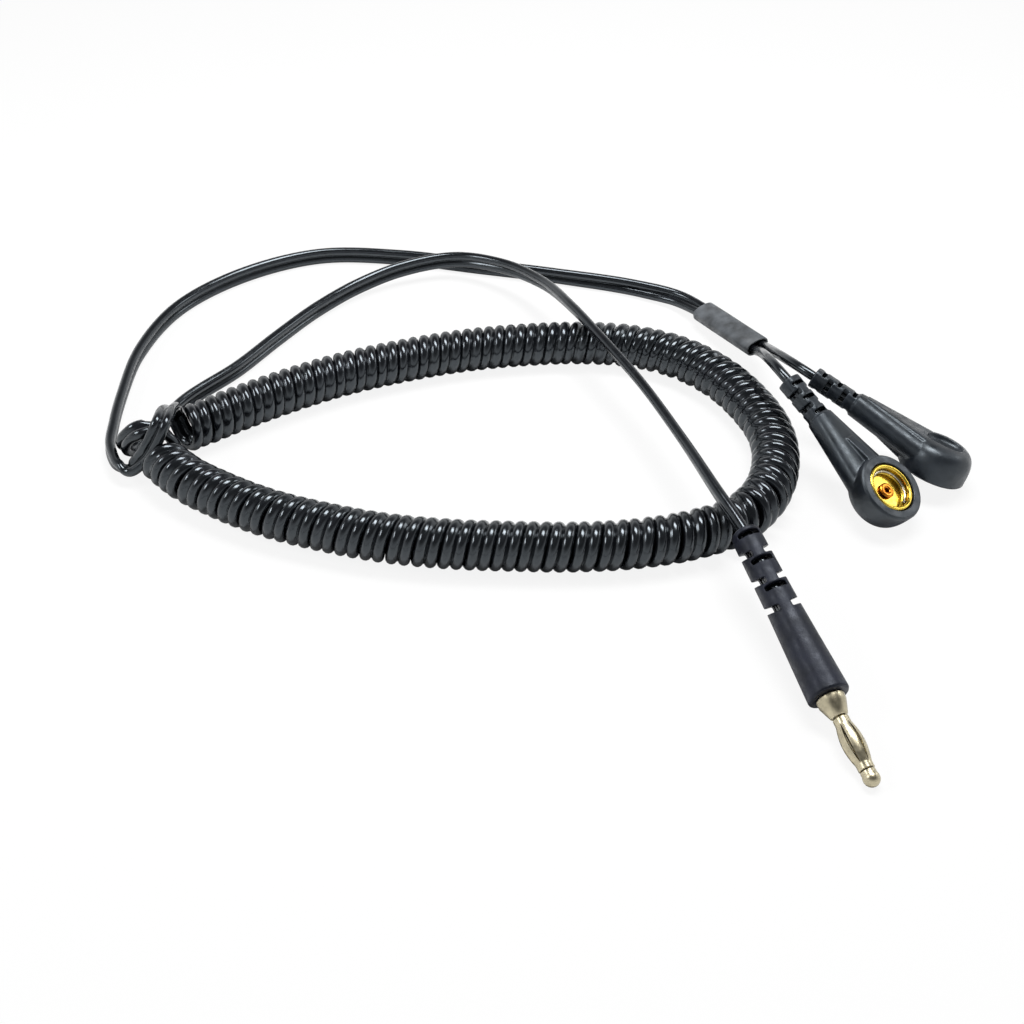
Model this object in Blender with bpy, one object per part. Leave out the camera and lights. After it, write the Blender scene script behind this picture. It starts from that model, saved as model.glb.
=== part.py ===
"""Curly twin ground cord lying on a table: a lantern banana plug on one tail, two snap sockets on the other.

Metres, +Z up. The table is z = 0 and the origin lies under the middle of the cord's outline.
"""

import math

import bmesh
import bpy
import numpy as np
from mathutils import Matrix, Vector, kdtree

MM = 0.001
GAP = 0.3 * MM

# Cord: two jacketed wires side by side, joined by a web
WIRE = 2.2 * MM
TWIN_WAIST = 1.44 * MM
LOBE_SHARE = 1.14

# Curls of the cord
COIL_OUTER = 10.0 * MM
COIL_GAP = 0.6 * MM
CURL_POINTS = 8
OPEN_PITCH = 14.0 * MM
OPEN_LENGTH = 8.0 * MM
OPEN_FADE = 9.0 * MM
LOOSE_SWELL = 0.8 * MM
LOOSE_LENGTH = 15.0 * MM

# Sleeve where the twin splits into two single leads
SLEEVE_LENGTH = 23.0 * MM
SLEEVE_WALL = 0.45 * MM
SLEEVE_POWER = 2.6
LEAD_LEAVE = 0.1
LEAD_ARRIVE = 0.35

# Snap connector, along its neck
SNAP_REACH = 31.6 * MM
SNAP_CANT = math.radians(8.0)
NECK_DEPTH = 3.4 * MM
SNAP_RELIEF_LENGTH = 10.5 * MM
SNAP_RELIEF_WIDTH = 4.6 * MM
SNAP_RELIEF_THICK = 4.4 * MM
SNAP_SLOT = 0.95 * MM
SNAP_NOTCH = 1.15 * MM
SNAP_SLOT_PITCH = 1.95 * MM
SNAP_SLOT_FIRST = 1.9 * MM
SNAP_SLOT_SPAN = 3.0 * MM
SNAP_WEB = 2.5 * MM
SNAP_SLOT_COUNT = 5
NECK_WIDTH = 5.4 * MM
NECK_THICK = 5.4 * MM
NECK_ROOT_WIDTH = 12.4 * MM
NECK_ROOT_THICK = 6.6 * MM
NECK_ROOT = 4.0 * MM
NECK_LEAD_IN = 0.9
NECK_POWER = 2.5
RELIEF_POWER = 3.0
GUSSET_REACH = 13.5 * MM
GUSSET_WIDTH = 2.4 * MM
GUSSET_TIP = 1.9 * MM
GUSSET_RISE = 0.25 * MM
GUSSET_DROP = 0.1 * MM

# Snap connector, head and socket
HEAD_DIAMETER = 15.0 * MM
HEAD_DEPTH = 7.6 * MM
HEAD_POWER = 4.0
DOME_FROM = math.radians(6.0)
DOME_TO = math.radians(84.0)
HEAD_CHAMFER = 0.35 * MM
RECESS_LENGTH = 8.2 * MM
RECESS_WIDTH = 6.0 * MM
RECESS_DEPTH = 1.1 * MM
RECESS_ABOVE = 0.6
RECESS_CLOSE = 0.8
RECESS_STEPS = 5
CUP_OUTER = 10.8 * MM
CUP_BORE = 8.8 * MM
CUP_DEPTH = 2.2 * MM
CUP_FLOOR = 0.5 * MM
CUP_SET_BACK = 0.1 * MM
CUP_LIP = 0.6 * MM
RING_WIRE = 0.7 * MM
RING_OUTER = 9.1 * MM
RING_SPLIT = math.radians(38.0)
EYELET_OUTER = 2.1 * MM
EYELET_BORE = 1.1 * MM
EYELET_FLANGE = 3.4 * MM
EYELET_FLANGE_THICK = 0.4 * MM
LUG_OUTER = 7.0 * MM
LUG_THICK = 0.5 * MM
LUG_TONGUE = 1.8 * MM
TONGUE_SHARE = 0.8
BARREL_OUTER = 2.2 * MM
BARREL_LENGTH = 3.6 * MM
BARREL_FROM_HEAD = 6.4 * MM
RESISTOR_DIAMETER = 2.3 * MM
RESISTOR_WAIST = 2.0 * MM
RESISTOR_CLEARANCE = 0.7 * MM
RESISTOR_SHOULDER = 0.1
RESISTOR_END = 0.8
RESISTOR_PIN = 0.7 * MM
PIN_BEHIND = 1.8 * MM
PIN_AHEAD = 3.2 * MM
FERRULE_OUTER = 2.4 * MM
FERRULE_LENGTH = 3.4 * MM

# Banana plug, along its axis from the cord's end
PLUG_RELIEF_LENGTH = 18.5 * MM
PLUG_RELIEF_WIDTH = 5.8 * MM
PLUG_RELIEF_HEIGHT = 7.0 * MM
RELIEF_SLOT = 1.2 * MM
RELIEF_NOTCH = 1.3 * MM
RELIEF_SLANT = math.tan(math.radians(24.0))
RELIEF_SLOT_PITCH = 3.1 * MM
RELIEF_SLOT_FIRST = 1.6 * MM
RELIEF_SLOT_COUNT = 6
RELIEF_SLIT_SPAN = 4.2 * MM
RELIEF_WEB = 2.3 * MM
HANDLE_LENGTH = 18.5 * MM
HANDLE_REAR = 6.5 * MM
HANDLE_FRONT = 7.9 * MM
HANDLE_ROUND = 0.5 * MM
HANDLE_LEAD_IN = 0.93
HANDLE_POWER = 2.2
TWIN_INSERT = 19.7 * MM
CRIMP_LENGTH = 5.8 * MM
CRIMP_WIDTH = 3.0 * MM
CRIMP_HEIGHT = 4.4 * MM
CRIMP_WAIST = 0.82
SHANK_DIAMETER = 4.2 * MM
COLLAR_DIAMETER = 5.4 * MM
COLLAR_LENGTH = 1.3 * MM
CONE_LENGTH = 2.5 * MM
PIN_NECK = 2.9 * MM
MANDREL = 1.7 * MM
LANTERN_LENGTH = 10.2 * MM
LANTERN_BAND = 1.3 * MM
LANTERN_BULGE = 4.2 * MM
LANTERN_WALL = 0.35 * MM
LANTERN_LEAVES = 6
LEAF_COLUMNS = 3
LEAF_ROWS = 7
TIP_COLLAR = 2.8 * MM
TIP_COLLAR_LENGTH = 0.6 * MM
TIP_BALL = 3.1 * MM
BALL_FROM = math.radians(-17.0)
BALL_TO = math.radians(72.0)

# Where things lie, in millimetres on the table before the outline is centred
LAY_CENTRE = (3.14, 15.56, 0.0)
COIL_AXIS = (
    (-83.8, 21.6), (-79.2, 16.0), (-74.6, 10.4), (-69.0, 5.0), (-61.5, 0.0), (-50.0, -6.0),
    (-38.0, -10.2), (-26.0, -13.3), (-13.0, -15.1), (0.0, -15.8), (13.0, -16.0), (26.0, -14.9),
    (37.0, -12.3), (45.9, -8.2), (52.6, -1.0), (56.6, 9.0), (57.3, 20.2), (54.0, 31.6),
    (47.5, 42.5), (39.0, 50.0), (29.0, 54.2), (16.5, 55.6), (3.0, 54.8), (-12.0, 52.3),
    (-26.5, 48.0), (-40.3, 42.5), (-53.0, 35.5), (-62.0, 29.6), (-69.5, 24.1), (-72.3, 22.0),
)
# Each row is a point of the twin and the direction of its broad side there
SNAP_TAIL = (
    (-75.6, 24.7, 8.6, -0.85, -0.5, 0.0), (-75.4, 21.5, 11.0, -0.95, -0.2, 0.0),
    (-75.1, 13.3, 13.0, -0.95, 0.2, 0.0), (-77.3, 11.5, 9.2, -0.92, 0.4, 0.0),
    (-80.1, 11.1, 5.4, -0.85, 0.5, 0.0), (-82.7, 10.7, 3.2, -0.6, 0.75, -0.2),
    (-85.9, 12.7, 2.4, -0.3, 0.6, -0.7), (-89.0, 18.1, 2.2, -0.2, 0.15, -0.95),
    (-90.4, 27.1, 2.2, -0.2, 0.0, -0.98), (-91.1, 38.5, 2.2, -0.2, 0.0, -0.98),
    (-90.7, 56.0, 2.2, -0.1, 0.0, -1.0), (-84.7, 75.7, 2.2, 0.0, 0.0, -1.0),
    (-71.8, 90.5, 2.2, 0.0, 0.0, -1.0), (-51.8, 100.7, 2.2, 0.0, 0.0, -1.0),
    (-30.2, 100.1, 2.2, 0.0, 0.0, -1.0), (-9.0, 95.5, 2.2, 0.0, 0.0, -1.0),
    (12.7, 90.5, 2.2, 0.0, 0.0, -1.0), (33.3, 84.2, 2.3, -0.4, -0.2, -0.9),
    (42.6, 79.2, 2.6, -0.7, -0.4, -0.6),
)
PLUG_TAIL = (
    (-79.6, 27.6, 1.9, 0.5, -0.4, 0.7), (-76.8, 33.7, 2.2, 0.0, 0.0, 1.0),
    (-65.4, 49.3, 2.2, 0.0, 0.0, 1.0), (-57.6, 62.4, 2.2, 0.0, 0.0, 1.0),
    (-49.2, 75.0, 2.3, 0.0, 0.0, 1.0), (-39.8, 84.5, 3.0, 0.0, 0.0, 1.0),
    (-29.4, 90.6, 4.2, 0.0, 0.0, 1.0), (-15.0, 93.6, 5.4, 0.0, 0.0, 1.0),
    (-2.0, 87.5, 7.0, -0.2, 0.0, 1.0), (7.0, 77.2, 9.0, -0.4, -0.1, 0.9),
    (14.7, 60.0, 12.2, -0.5, -0.2, 0.83), (20.5, 46.7, 13.0, -0.5, -0.2, 0.83),
    (28.6, 29.8, 12.4, -0.5, -0.2, 0.83), (35.7, 10.6, 12.2, -0.45, -0.22, 0.85),
    (41.0, -8.0, 13.2, -0.3, -0.25, 0.9),
)
SLEEVE_REAR = (48.3, 72.1, 3.4)
SLEEVE_HEADING = (10.5, -20.3, 3.1)
SLEEVE_BROAD = (-0.86, -0.44, -0.2)
FRONT_FACE = (78.68, -1.95, 8.85)
FRONT_FACING = (0.408, -0.316, 0.856)
FRONT_TIP = (0.512, -0.712, -0.474)
REAR_FACE = (90.53, 10.1, 2.73)
REAR_FACING = (-0.316, -0.211, -0.925)
REAR_TIP = (0.798, -0.527, -0.292)
PLUG_REAR = (45.3, -20.3, 12.4)
PLUG_HEADING = (16.5, -50.4, -11.05)
PLUG_UP = (-0.2, -0.1, 0.97)

# Mesh fineness
FINE = 40
TAIL_SAMPLES = 3
LEAD_SAMPLES = 14
ROUND = 18
HEAD_SIDES = 28
SMALL_ROUND = 12
FILLET_STEPS = 3
DOME_STEPS = 7
RING_SPRING_POINTS = 20
RING_SPRING_SIDES = 5
SMOOTH_ANGLE = math.radians(40.0)
UP = np.array((0.0, 0.0, 1.0))


def lay(point):
    """A place on the table, in metres about the middle of the outline."""
    return (np.array(point) - np.array(LAY_CENTRE)) * MM


def unit(vector):
    vector = np.asarray(vector, float)
    return vector / np.linalg.norm(vector, axis=-1, keepdims=True)


def finish(name, colour, roughness, metallic=0.0):
    """A Principled material."""
    material = bpy.data.materials.new(name)
    material.use_nodes = True
    shader = material.node_tree.nodes["Principled BSDF"]
    shader.inputs["Base Color"].default_value = (*colour, 1.0)
    shader.inputs["Roughness"].default_value = roughness
    shader.inputs["Metallic"].default_value = metallic
    return material


def placed_empty(name, origin, x_axis, z_axis, parent=None):
    """An empty whose Z runs along z_axis and whose X leans towards x_axis."""
    z_axis = unit(z_axis)
    x_axis = np.asarray(x_axis, float)
    x_axis = unit(x_axis - np.dot(x_axis, z_axis) * z_axis)
    y_axis = np.cross(z_axis, x_axis)
    matrix = Matrix.Identity(4)
    for column, vector in enumerate((x_axis, y_axis, z_axis, origin)):
        matrix.col[column][:3] = vector
    empty = bpy.data.objects.new(name, None)
    empty.parent = parent
    empty.matrix_local = matrix
    bpy.context.collection.objects.link(empty)
    return empty


def piece(name, shape, material=None, parent=None):
    """A closed mesh object; the shape is one or more (points, faces) shells."""
    shells = shape if isinstance(shape, list) else [shape]
    bm = bmesh.new()
    for points, faces in shells:
        corners = [bm.verts.new(point) for point in points]
        for face in faces:
            bm.faces.new([corners[index] for index in face])
    bmesh.ops.recalc_face_normals(bm, faces=bm.faces)
    mesh = bpy.data.meshes.new(name)
    bm.to_mesh(mesh)
    bm.free()
    mesh.shade_smooth()
    mesh.set_sharp_from_angle(angle=SMOOTH_ANGLE)
    if material:
        mesh.materials.append(material)
    obj = bpy.data.objects.new(name, mesh)
    obj.parent = parent
    bpy.context.collection.objects.link(obj)
    return obj


def shape_with(obj, operation, name, shape, parent):
    """Joins a shape to the object, or cuts it away, through a Boolean."""
    tool = piece(name, shape, parent=parent)
    tool.hide_render = True
    tool.display_type = "WIRE"
    modifier = obj.modifiers.new(name, "BOOLEAN")
    modifier.operation = operation
    modifier.solver = "EXACT"
    modifier.object = tool


def loft(rings, hollow=False):
    """Faces along a row of rings; a hollow loft closes on itself, a plain one has end caps."""
    rows, count = rings.shape[:2]
    faces = []
    for row in range(rows if hollow else rows - 1):
        here = row * count
        there = (row + 1) % rows * count
        for index in range(count):
            after = (index + 1) % count
            faces.append((here + index, here + after, there + after, there + index))
    if not hollow:
        faces.append(tuple(reversed(range(count))))
        faces.append(tuple(range((rows - 1) * count, rows * count)))
    return rings.reshape(-1, 3), faces


def turned(profile, segments=ROUND, hollow=False):
    """A profile of (radius, height) pairs turned about Z."""
    radius, height = np.array(profile).T[:, :, None]
    angle = np.arange(segments) * math.tau / segments
    rings = np.stack(
        (radius * np.cos(angle), radius * np.sin(angle), height + 0 * angle), axis=-1
    )
    return loft(rings, hollow)


def oval(half_x, half_y, power=2.0, count=16, shift=0.0):
    """Points of a superellipse in the XY plane, turned on by a share of one step."""
    angle = (np.arange(count) + shift) * math.tau / count
    along = np.abs(np.cos(angle)) ** (2 / power) * np.sign(np.cos(angle))
    across = np.abs(np.sin(angle)) ** (2 / power) * np.sign(np.sin(angle))
    return np.stack((half_x * along, half_y * across, 0 * angle), axis=-1)


def oval_loft(sections, power=2.0, count=16):
    """Ovals of (height, half x, half y) stacked along Z."""
    rings = [oval(half_x, half_y, power, count) + (0, 0, height) for height, half_x, half_y in sections]
    return np.array(rings)


def oval_slot(axis, low, high, half_width, half_height, height, slant=0.0):
    """A prism with rounded ends that runs from low to high along X or Y (axis 0 or 1), leaning across."""
    outline = oval(half_width, half_height, power=5.0, count=8, shift=0.5)
    rings = np.zeros((2, len(outline), 3))
    rings[:, :, axis] = np.array((low, high))[:, None]
    rings[:, :, 1 - axis] = outline[:, 0]
    rings[:, :, 2] = outline[:, 1] + outline[:, 0] * slant + height
    return loft(rings)


def smooth_curve(points, samples):
    """Cubic curve through the points, with slopes taken over each point's neighbours."""
    points = np.asarray(points, float)
    steps = np.linalg.norm(np.diff(points, axis=0), axis=1)
    slope = np.gradient(points, np.concatenate(((0.0,), np.cumsum(steps))), axis=0)
    u = np.linspace(0, 1, samples, endpoint=False)[None, :, None]
    step = steps[:, None, None]
    first, last = points[:-1, None], points[1:, None]
    leave, arrive = slope[:-1, None] * step, slope[1:, None] * step
    curve = (
        (2 * u**3 - 3 * u**2 + 1) * first
        + (u**3 - 2 * u**2 + u) * leave
        + (3 * u**2 - 2 * u**3) * last
        + (u**3 - u**2) * arrive
    )
    return np.concatenate((curve.reshape(-1, points.shape[1]), points[-1:]))


def bend(start, leave, arrive, stop, samples):
    """A cubic Bezier arc from start to stop, pulled towards the two points between."""
    u = np.linspace(0, 1, samples)[:, None]
    return (1 - u) ** 3 * start + 3 * u * (1 - u) ** 2 * leave + 3 * u**2 * (1 - u) * arrive + u**3 * stop


def twin_section():
    """The twin's outline across (broad side, thickness): two round lobes and a waist."""
    half = WIRE / 2
    lobe = half * LOBE_SHARE
    waist = TWIN_WAIST / 2
    return np.array((
        (2 * half, 0), (lobe, half), (0, waist), (-lobe, half),
        (-2 * half, 0), (-lobe, -half), (0, -waist), (lobe, -half),
    ))


def twin_rings(path, broad, thick):
    """The twin's outline carried along a path."""
    section = twin_section()
    across = section[None, :, 0, None] * broad[:, None]
    through = section[None, :, 1, None] * thick[:, None]
    return path[:, None] + across + through


def coil_path():
    """The helix through the curls.

    The curl angle turns by one eighth for each point. The pitch starts open and closes up, and where the
    axis bends left the curls spread so that their inner sides keep the same gap.
    """
    radius = (COIL_OUTER - WIRE) / 2
    closed_pitch = 2 * WIRE + COIL_GAP
    axis = smooth_curve([lay((x, y, 0)) for x, y in COIL_AXIS], FINE)
    steps = np.linalg.norm(np.diff(axis, axis=0), axis=1)
    s = np.concatenate(((0.0,), np.cumsum(steps)))
    tangent = unit(np.gradient(axis, s, axis=0))
    heading = np.unwrap(np.arctan2(tangent[:, 1], tangent[:, 0]))
    window = FINE + 1
    bend = np.pad(np.gradient(heading, s), window // 2, mode="edge")
    bend = np.convolve(bend, np.ones(window) / window, "valid")
    fade = np.clip((s - OPEN_LENGTH) / OPEN_FADE, 0, 1)
    pitch = OPEN_PITCH + (closed_pitch - OPEN_PITCH) * (3 * fade**2 - 2 * fade**3)
    rate = (1 - radius * np.clip(bend, 0, None)) / pitch
    turns = np.concatenate(((0.0,), np.cumsum((rate[1:] + rate[:-1]) / 2 * steps)))
    count = int(CURL_POINTS * math.floor(turns[-1] - 1 / CURL_POINTS) + 1)
    order = np.arange(count + 1)
    at = np.interp(order / count * turns[-1], turns, s)
    angle = -math.pi / 2 - order * math.tau / CURL_POINTS
    swell = radius + LOOSE_SWELL * np.clip(1 - at / LOOSE_LENGTH, 0, 1)
    centre = np.stack([np.interp(at, s, axis[:, column]) for column in range(3)], axis=-1)
    centre[:, 2] = swell + WIRE / 2
    along = unit(np.stack([np.interp(at, s, tangent[:, column]) for column in range(3)], axis=-1))
    side = np.cross(UP, along)
    outward = np.cos(angle)[:, None] * side + np.sin(angle)[:, None] * UP
    onward = np.sin(angle)[:, None] * side - np.cos(angle)[:, None] * UP
    return centre + swell[:, None] * outward, along, outward, onward


def least_gap(rings):
    """The least distance between points of the tube half a curl or more apart."""
    points = rings.reshape(-1, 3)
    sides = rings.shape[1]
    tree = kdtree.KDTree(len(points))
    for index, point in enumerate(points):
        tree.insert(point, index)
    tree.balance()
    apart = sides * CURL_POINTS // 2
    least = COIL_OUTER
    for index, point in enumerate(points):
        for _, other, distance in tree.find_range(point, least):
            if abs(other - index) >= apart:
                least = min(least, distance)
    return least


def twin_tail(rows, samples):
    """A path and its broad sides through rows of points and directions; it never sinks into the table."""
    rows = np.array(rows)
    curve = smooth_curve(rows[:, :3], samples)
    at = np.linspace(0, len(rows) - 1, len(curve))
    number = np.arange(len(rows))
    hint = np.stack([np.interp(at, number, rows[:, 3 + column]) for column in range(3)], axis=-1)
    forward = unit(np.gradient(curve, axis=0))
    broad = unit(hint - np.sum(hint * forward, axis=1, keepdims=True) * forward)
    curve[:, 2] = np.maximum(curve[:, 2], WIRE / 2 * (1 + np.abs(broad[:, 2])))
    return curve, broad, np.cross(forward, broad)


def laid_rows(rows):
    return [(*lay(row[:3]), *row[3:]) for row in rows]


def build_cord(jacket, sleeve_finish, snaps, plug):
    """The curls, the two twin tails, the sleeve and the two single leads."""
    path, along, outward, onward = coil_path()
    start = path[0] - onward[0] * WIRE
    end = path[-1] + onward[-1] * WIRE
    path = np.concatenate((start[None], path, end[None]))
    rings = twin_rings(path, along[[0, *range(len(along)), -1]], outward[[0, *range(len(along)), -1]])
    piece("coil", loft(rings), jacket)
    print(f"least gap of the curls to each other: {least_gap(rings) / MM:.2f} mm")

    forward = unit(SLEEVE_HEADING)
    broad = unit(np.array(SLEEVE_BROAD) - np.dot(SLEEVE_BROAD, forward) * forward)
    rear = lay(SLEEVE_REAR)
    middle = rear + forward * SLEEVE_LENGTH / 2
    leave = end + onward[-1] * GAP
    rows = [(*leave, *along[-1]), (*(leave + onward[-1] * WIRE / 2), *along[-1])]
    rows += laid_rows(SNAP_TAIL)
    rows += [(*rear, *broad), (*(middle - forward * GAP), *broad)]
    curve, broad_side, thick = twin_tail(rows, TAIL_SAMPLES)
    piece("snap_tail", loft(twin_rings(curve, broad_side, thick)), jacket)

    leave = start - onward[0] * GAP
    rows = [(*leave, *along[0]), (*(leave - onward[0] * WIRE), *along[0])]
    rows += laid_rows(PLUG_TAIL)
    plug_up = np.array(plug.matrix_world.col[0][:3])
    rear_end = np.array(plug.matrix_world.translation)
    inward = np.array(plug.matrix_world.col[2][:3])
    rows += [(*rear_end, *plug_up), (*(rear_end + inward * TWIN_INSERT), *plug_up)]
    curve, broad_side, thick = twin_tail(rows, TAIL_SAMPLES)
    piece("plug_tail", loft(twin_rings(curve, broad_side, thick)), jacket)

    sleeve = placed_empty("sleeve_axis", rear, broad, forward)
    bore_x = WIRE + 1.5 * GAP
    bore_y = WIRE / 2 + GAP
    outer = [(0, bore_x + SLEEVE_WALL, bore_y + SLEEVE_WALL)]
    outer.append((SLEEVE_LENGTH, bore_x + SLEEVE_WALL, bore_y + SLEEVE_WALL))
    inner = [(SLEEVE_LENGTH, bore_x, bore_y), (0, bore_x, bore_y)]
    piece("split_sleeve", loft(oval_loft(outer + inner, SLEEVE_POWER), hollow=True), sleeve_finish, sleeve)

    for name, sign, snap in (("front_lead", 1, snaps[0]), ("rear_lead", -1, snaps[1])):
        offset = sign * broad * (WIRE + GAP) / 2
        begin = middle + forward * GAP + offset
        leave = rear + forward * SLEEVE_LENGTH + offset
        enter = np.array(snap.matrix_world.translation)
        inward = np.array(snap.matrix_world.col[2][:3])
        deep = enter + inward * (SNAP_RELIEF_LENGTH - GAP)
        span = np.linalg.norm(enter - leave)
        ahead = leave + forward * span * LEAD_LEAVE
        free = bend(leave, ahead, enter - inward * span * LEAD_ARRIVE, enter, LEAD_SAMPLES)
        single_lead(name, np.concatenate((begin[None], free, deep[None])), jacket)


def single_lead(name, points, jacket):
    """One jacketed wire as a round tube along the points."""
    curve = bpy.data.curves.new(name, "CURVE")
    curve.dimensions = "3D"
    curve.bevel_depth = WIRE / 2
    curve.bevel_resolution = 2
    curve.use_fill_caps = True
    spline = curve.splines.new("POLY")
    spline.points.add(len(points) - 1)
    spline.points.foreach_set("co", np.c_[points, np.ones(len(points))].ravel())
    curve.materials.append(jacket)
    obj = bpy.data.objects.new(name, curve)
    bpy.context.collection.objects.link(obj)


def place_snap(label, face, facing, tip):
    """Empties for a snap connector: the head's Z leaves the socket, the neck's Z runs to the head."""
    head = placed_empty(f"{label}_head", lay(face), tip, facing)
    along = np.array((math.cos(SNAP_CANT), 0.0, math.sin(SNAP_CANT)))
    back = np.array((math.sin(SNAP_CANT), 0.0, -math.cos(SNAP_CANT)))
    begin = np.array((0.0, 0.0, -NECK_DEPTH)) - along * SNAP_REACH
    neck = placed_empty(f"{label}_neck", begin, back, along, head)
    return head, neck


def head_shape():
    """A flat round face with a chamfer, whose back is a superellipse dome."""
    radius = HEAD_DIAMETER / 2
    angle = np.arange(HEAD_SIDES) * math.tau / HEAD_SIDES
    turn = np.linspace(DOME_FROM, DOME_TO, DOME_STEPS)
    size = np.concatenate(((radius - HEAD_CHAMFER, radius), radius * np.cos(turn) ** (2 / HEAD_POWER)))
    height = np.concatenate(((0, -HEAD_CHAMFER), -HEAD_DEPTH * np.sin(turn) ** (2 / HEAD_POWER)))
    return loft(np.stack((
        size[:, None] * np.cos(angle), size[:, None] * np.sin(angle), height[:, None] + 0 * angle,
    ), axis=-1))


def neck_shape():
    """The neck widens from the relief to its root, which lies inside the head."""
    sections = (
        (SNAP_RELIEF_LENGTH, NECK_THICK / 2 * NECK_LEAD_IN, NECK_WIDTH / 2 * NECK_LEAD_IN),
        (SNAP_RELIEF_LENGTH + HEAD_CHAMFER, NECK_THICK / 2, NECK_WIDTH / 2),
        (SNAP_REACH - NECK_ROOT, NECK_ROOT_THICK / 2, NECK_ROOT_WIDTH / 2),
    )
    return loft(oval_loft(sections, NECK_POWER))


def gusset_shape():
    """A rib from the socket's face down to the neck, narrowing away from the head."""
    slope = math.tan(SNAP_CANT)
    share = (GUSSET_REACH - NECK_ROOT) / (SNAP_REACH - SNAP_RELIEF_LENGTH - NECK_ROOT)
    neck_thick = NECK_ROOT_THICK + (NECK_THICK - NECK_ROOT_THICK) * share
    neck_top = neck_thick / 2 / math.cos(SNAP_CANT) - NECK_DEPTH
    near = -(HEAD_DIAMETER + CUP_OUTER) / 4
    rows = (
        (near, -GUSSET_DROP, GUSSET_WIDTH / 2),
        (-HEAD_DIAMETER / 2, -GUSSET_DROP, GUSSET_WIDTH / 2),
        (-GUSSET_REACH, neck_top - GUSSET_REACH * slope + GUSSET_RISE, GUSSET_TIP / 2),
        (-GUSSET_REACH - 2 * GUSSET_RISE, neck_top - GUSSET_REACH * slope - GUSSET_RISE, GUSSET_TIP / 2),
    )
    rings = []
    for x, top, half in rows:
        low = -NECK_DEPTH + x * slope + BARREL_OUTER
        rings.append([(x, -half, top), (x, half, top), (x, half, low), (x, -half, low)])
    return loft(np.array(rings))


def snap_bore(channel):
    """The wire's bore, wider where the ferrule, the resistor and the barrel lie."""
    wire = WIRE / 2 + GAP
    step = SNAP_RELIEF_LENGTH
    end = SNAP_REACH - BARREL_FROM_HEAD + BARREL_LENGTH
    return turned(
        ((wire, -HEAD_CHAMFER), (wire, step), (channel, step + HEAD_CHAMFER), (channel, end)), SMALL_ROUND
    )


def relief_slots(first, pitch, count, span, slit, notch, web, reach, slant=0.0):
    """Slits through a relief's top and bottom, and leaning notches in both its sides, in turn."""
    slots = []
    for index in range(count):
        height = first + index * pitch
        if index % 2 == 0:
            slots.append(oval_slot(0, -reach, reach, span / 2, slit / 2, height))
            continue
        for low, high in ((-reach, -web / 2), (web / 2, reach)):
            slots.append(oval_slot(1, low, high, reach, notch / 2, height, slant))
    return slots


def cup_levels():
    """Heights in the head's frame: the cup's rim, its floor and its underside, then the lug's two sides."""
    rim = -CUP_SET_BACK
    floor = rim - CUP_DEPTH
    under = floor - CUP_FLOOR
    lug_top = under - GAP
    lug_under = lug_top - LUG_THICK
    return rim, floor, under, lug_top, lug_under


def socket_pocket():
    """The stepped hole in the head that takes the cup, the lug and the eyelet's lower flange."""
    _, _, under, _, lug_under = cup_levels()
    cup = CUP_OUTER / 2 + GAP
    lug = LUG_OUTER / 2 + GAP
    flange = EYELET_FLANGE / 2 + GAP
    bottom = lug_under - 2 * GAP - EYELET_FLANGE_THICK
    return turned((
        (cup, HEAD_CHAMFER), (cup, under - GAP / 2), (lug, under - GAP / 2),
        (lug, lug_under - GAP), (flange, lug_under - GAP), (flange, bottom),
    ))


def finger_recess():
    """An oval dish in the back of the head, with steep sides that close over a round bottom."""
    share = np.linspace(0, 1, RECESS_STEPS)
    depth = RECESS_DEPTH * ((1 + RECESS_ABOVE) * share - RECESS_ABOVE)
    size = np.sqrt(1 - RECESS_CLOSE * share**5)
    rings = oval_loft(np.stack((depth, RECESS_LENGTH / 2 * size, RECESS_WIDTH / 2 * size), axis=-1))
    rings[:, :, 2] -= HEAD_DEPTH
    return loft(rings)


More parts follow.
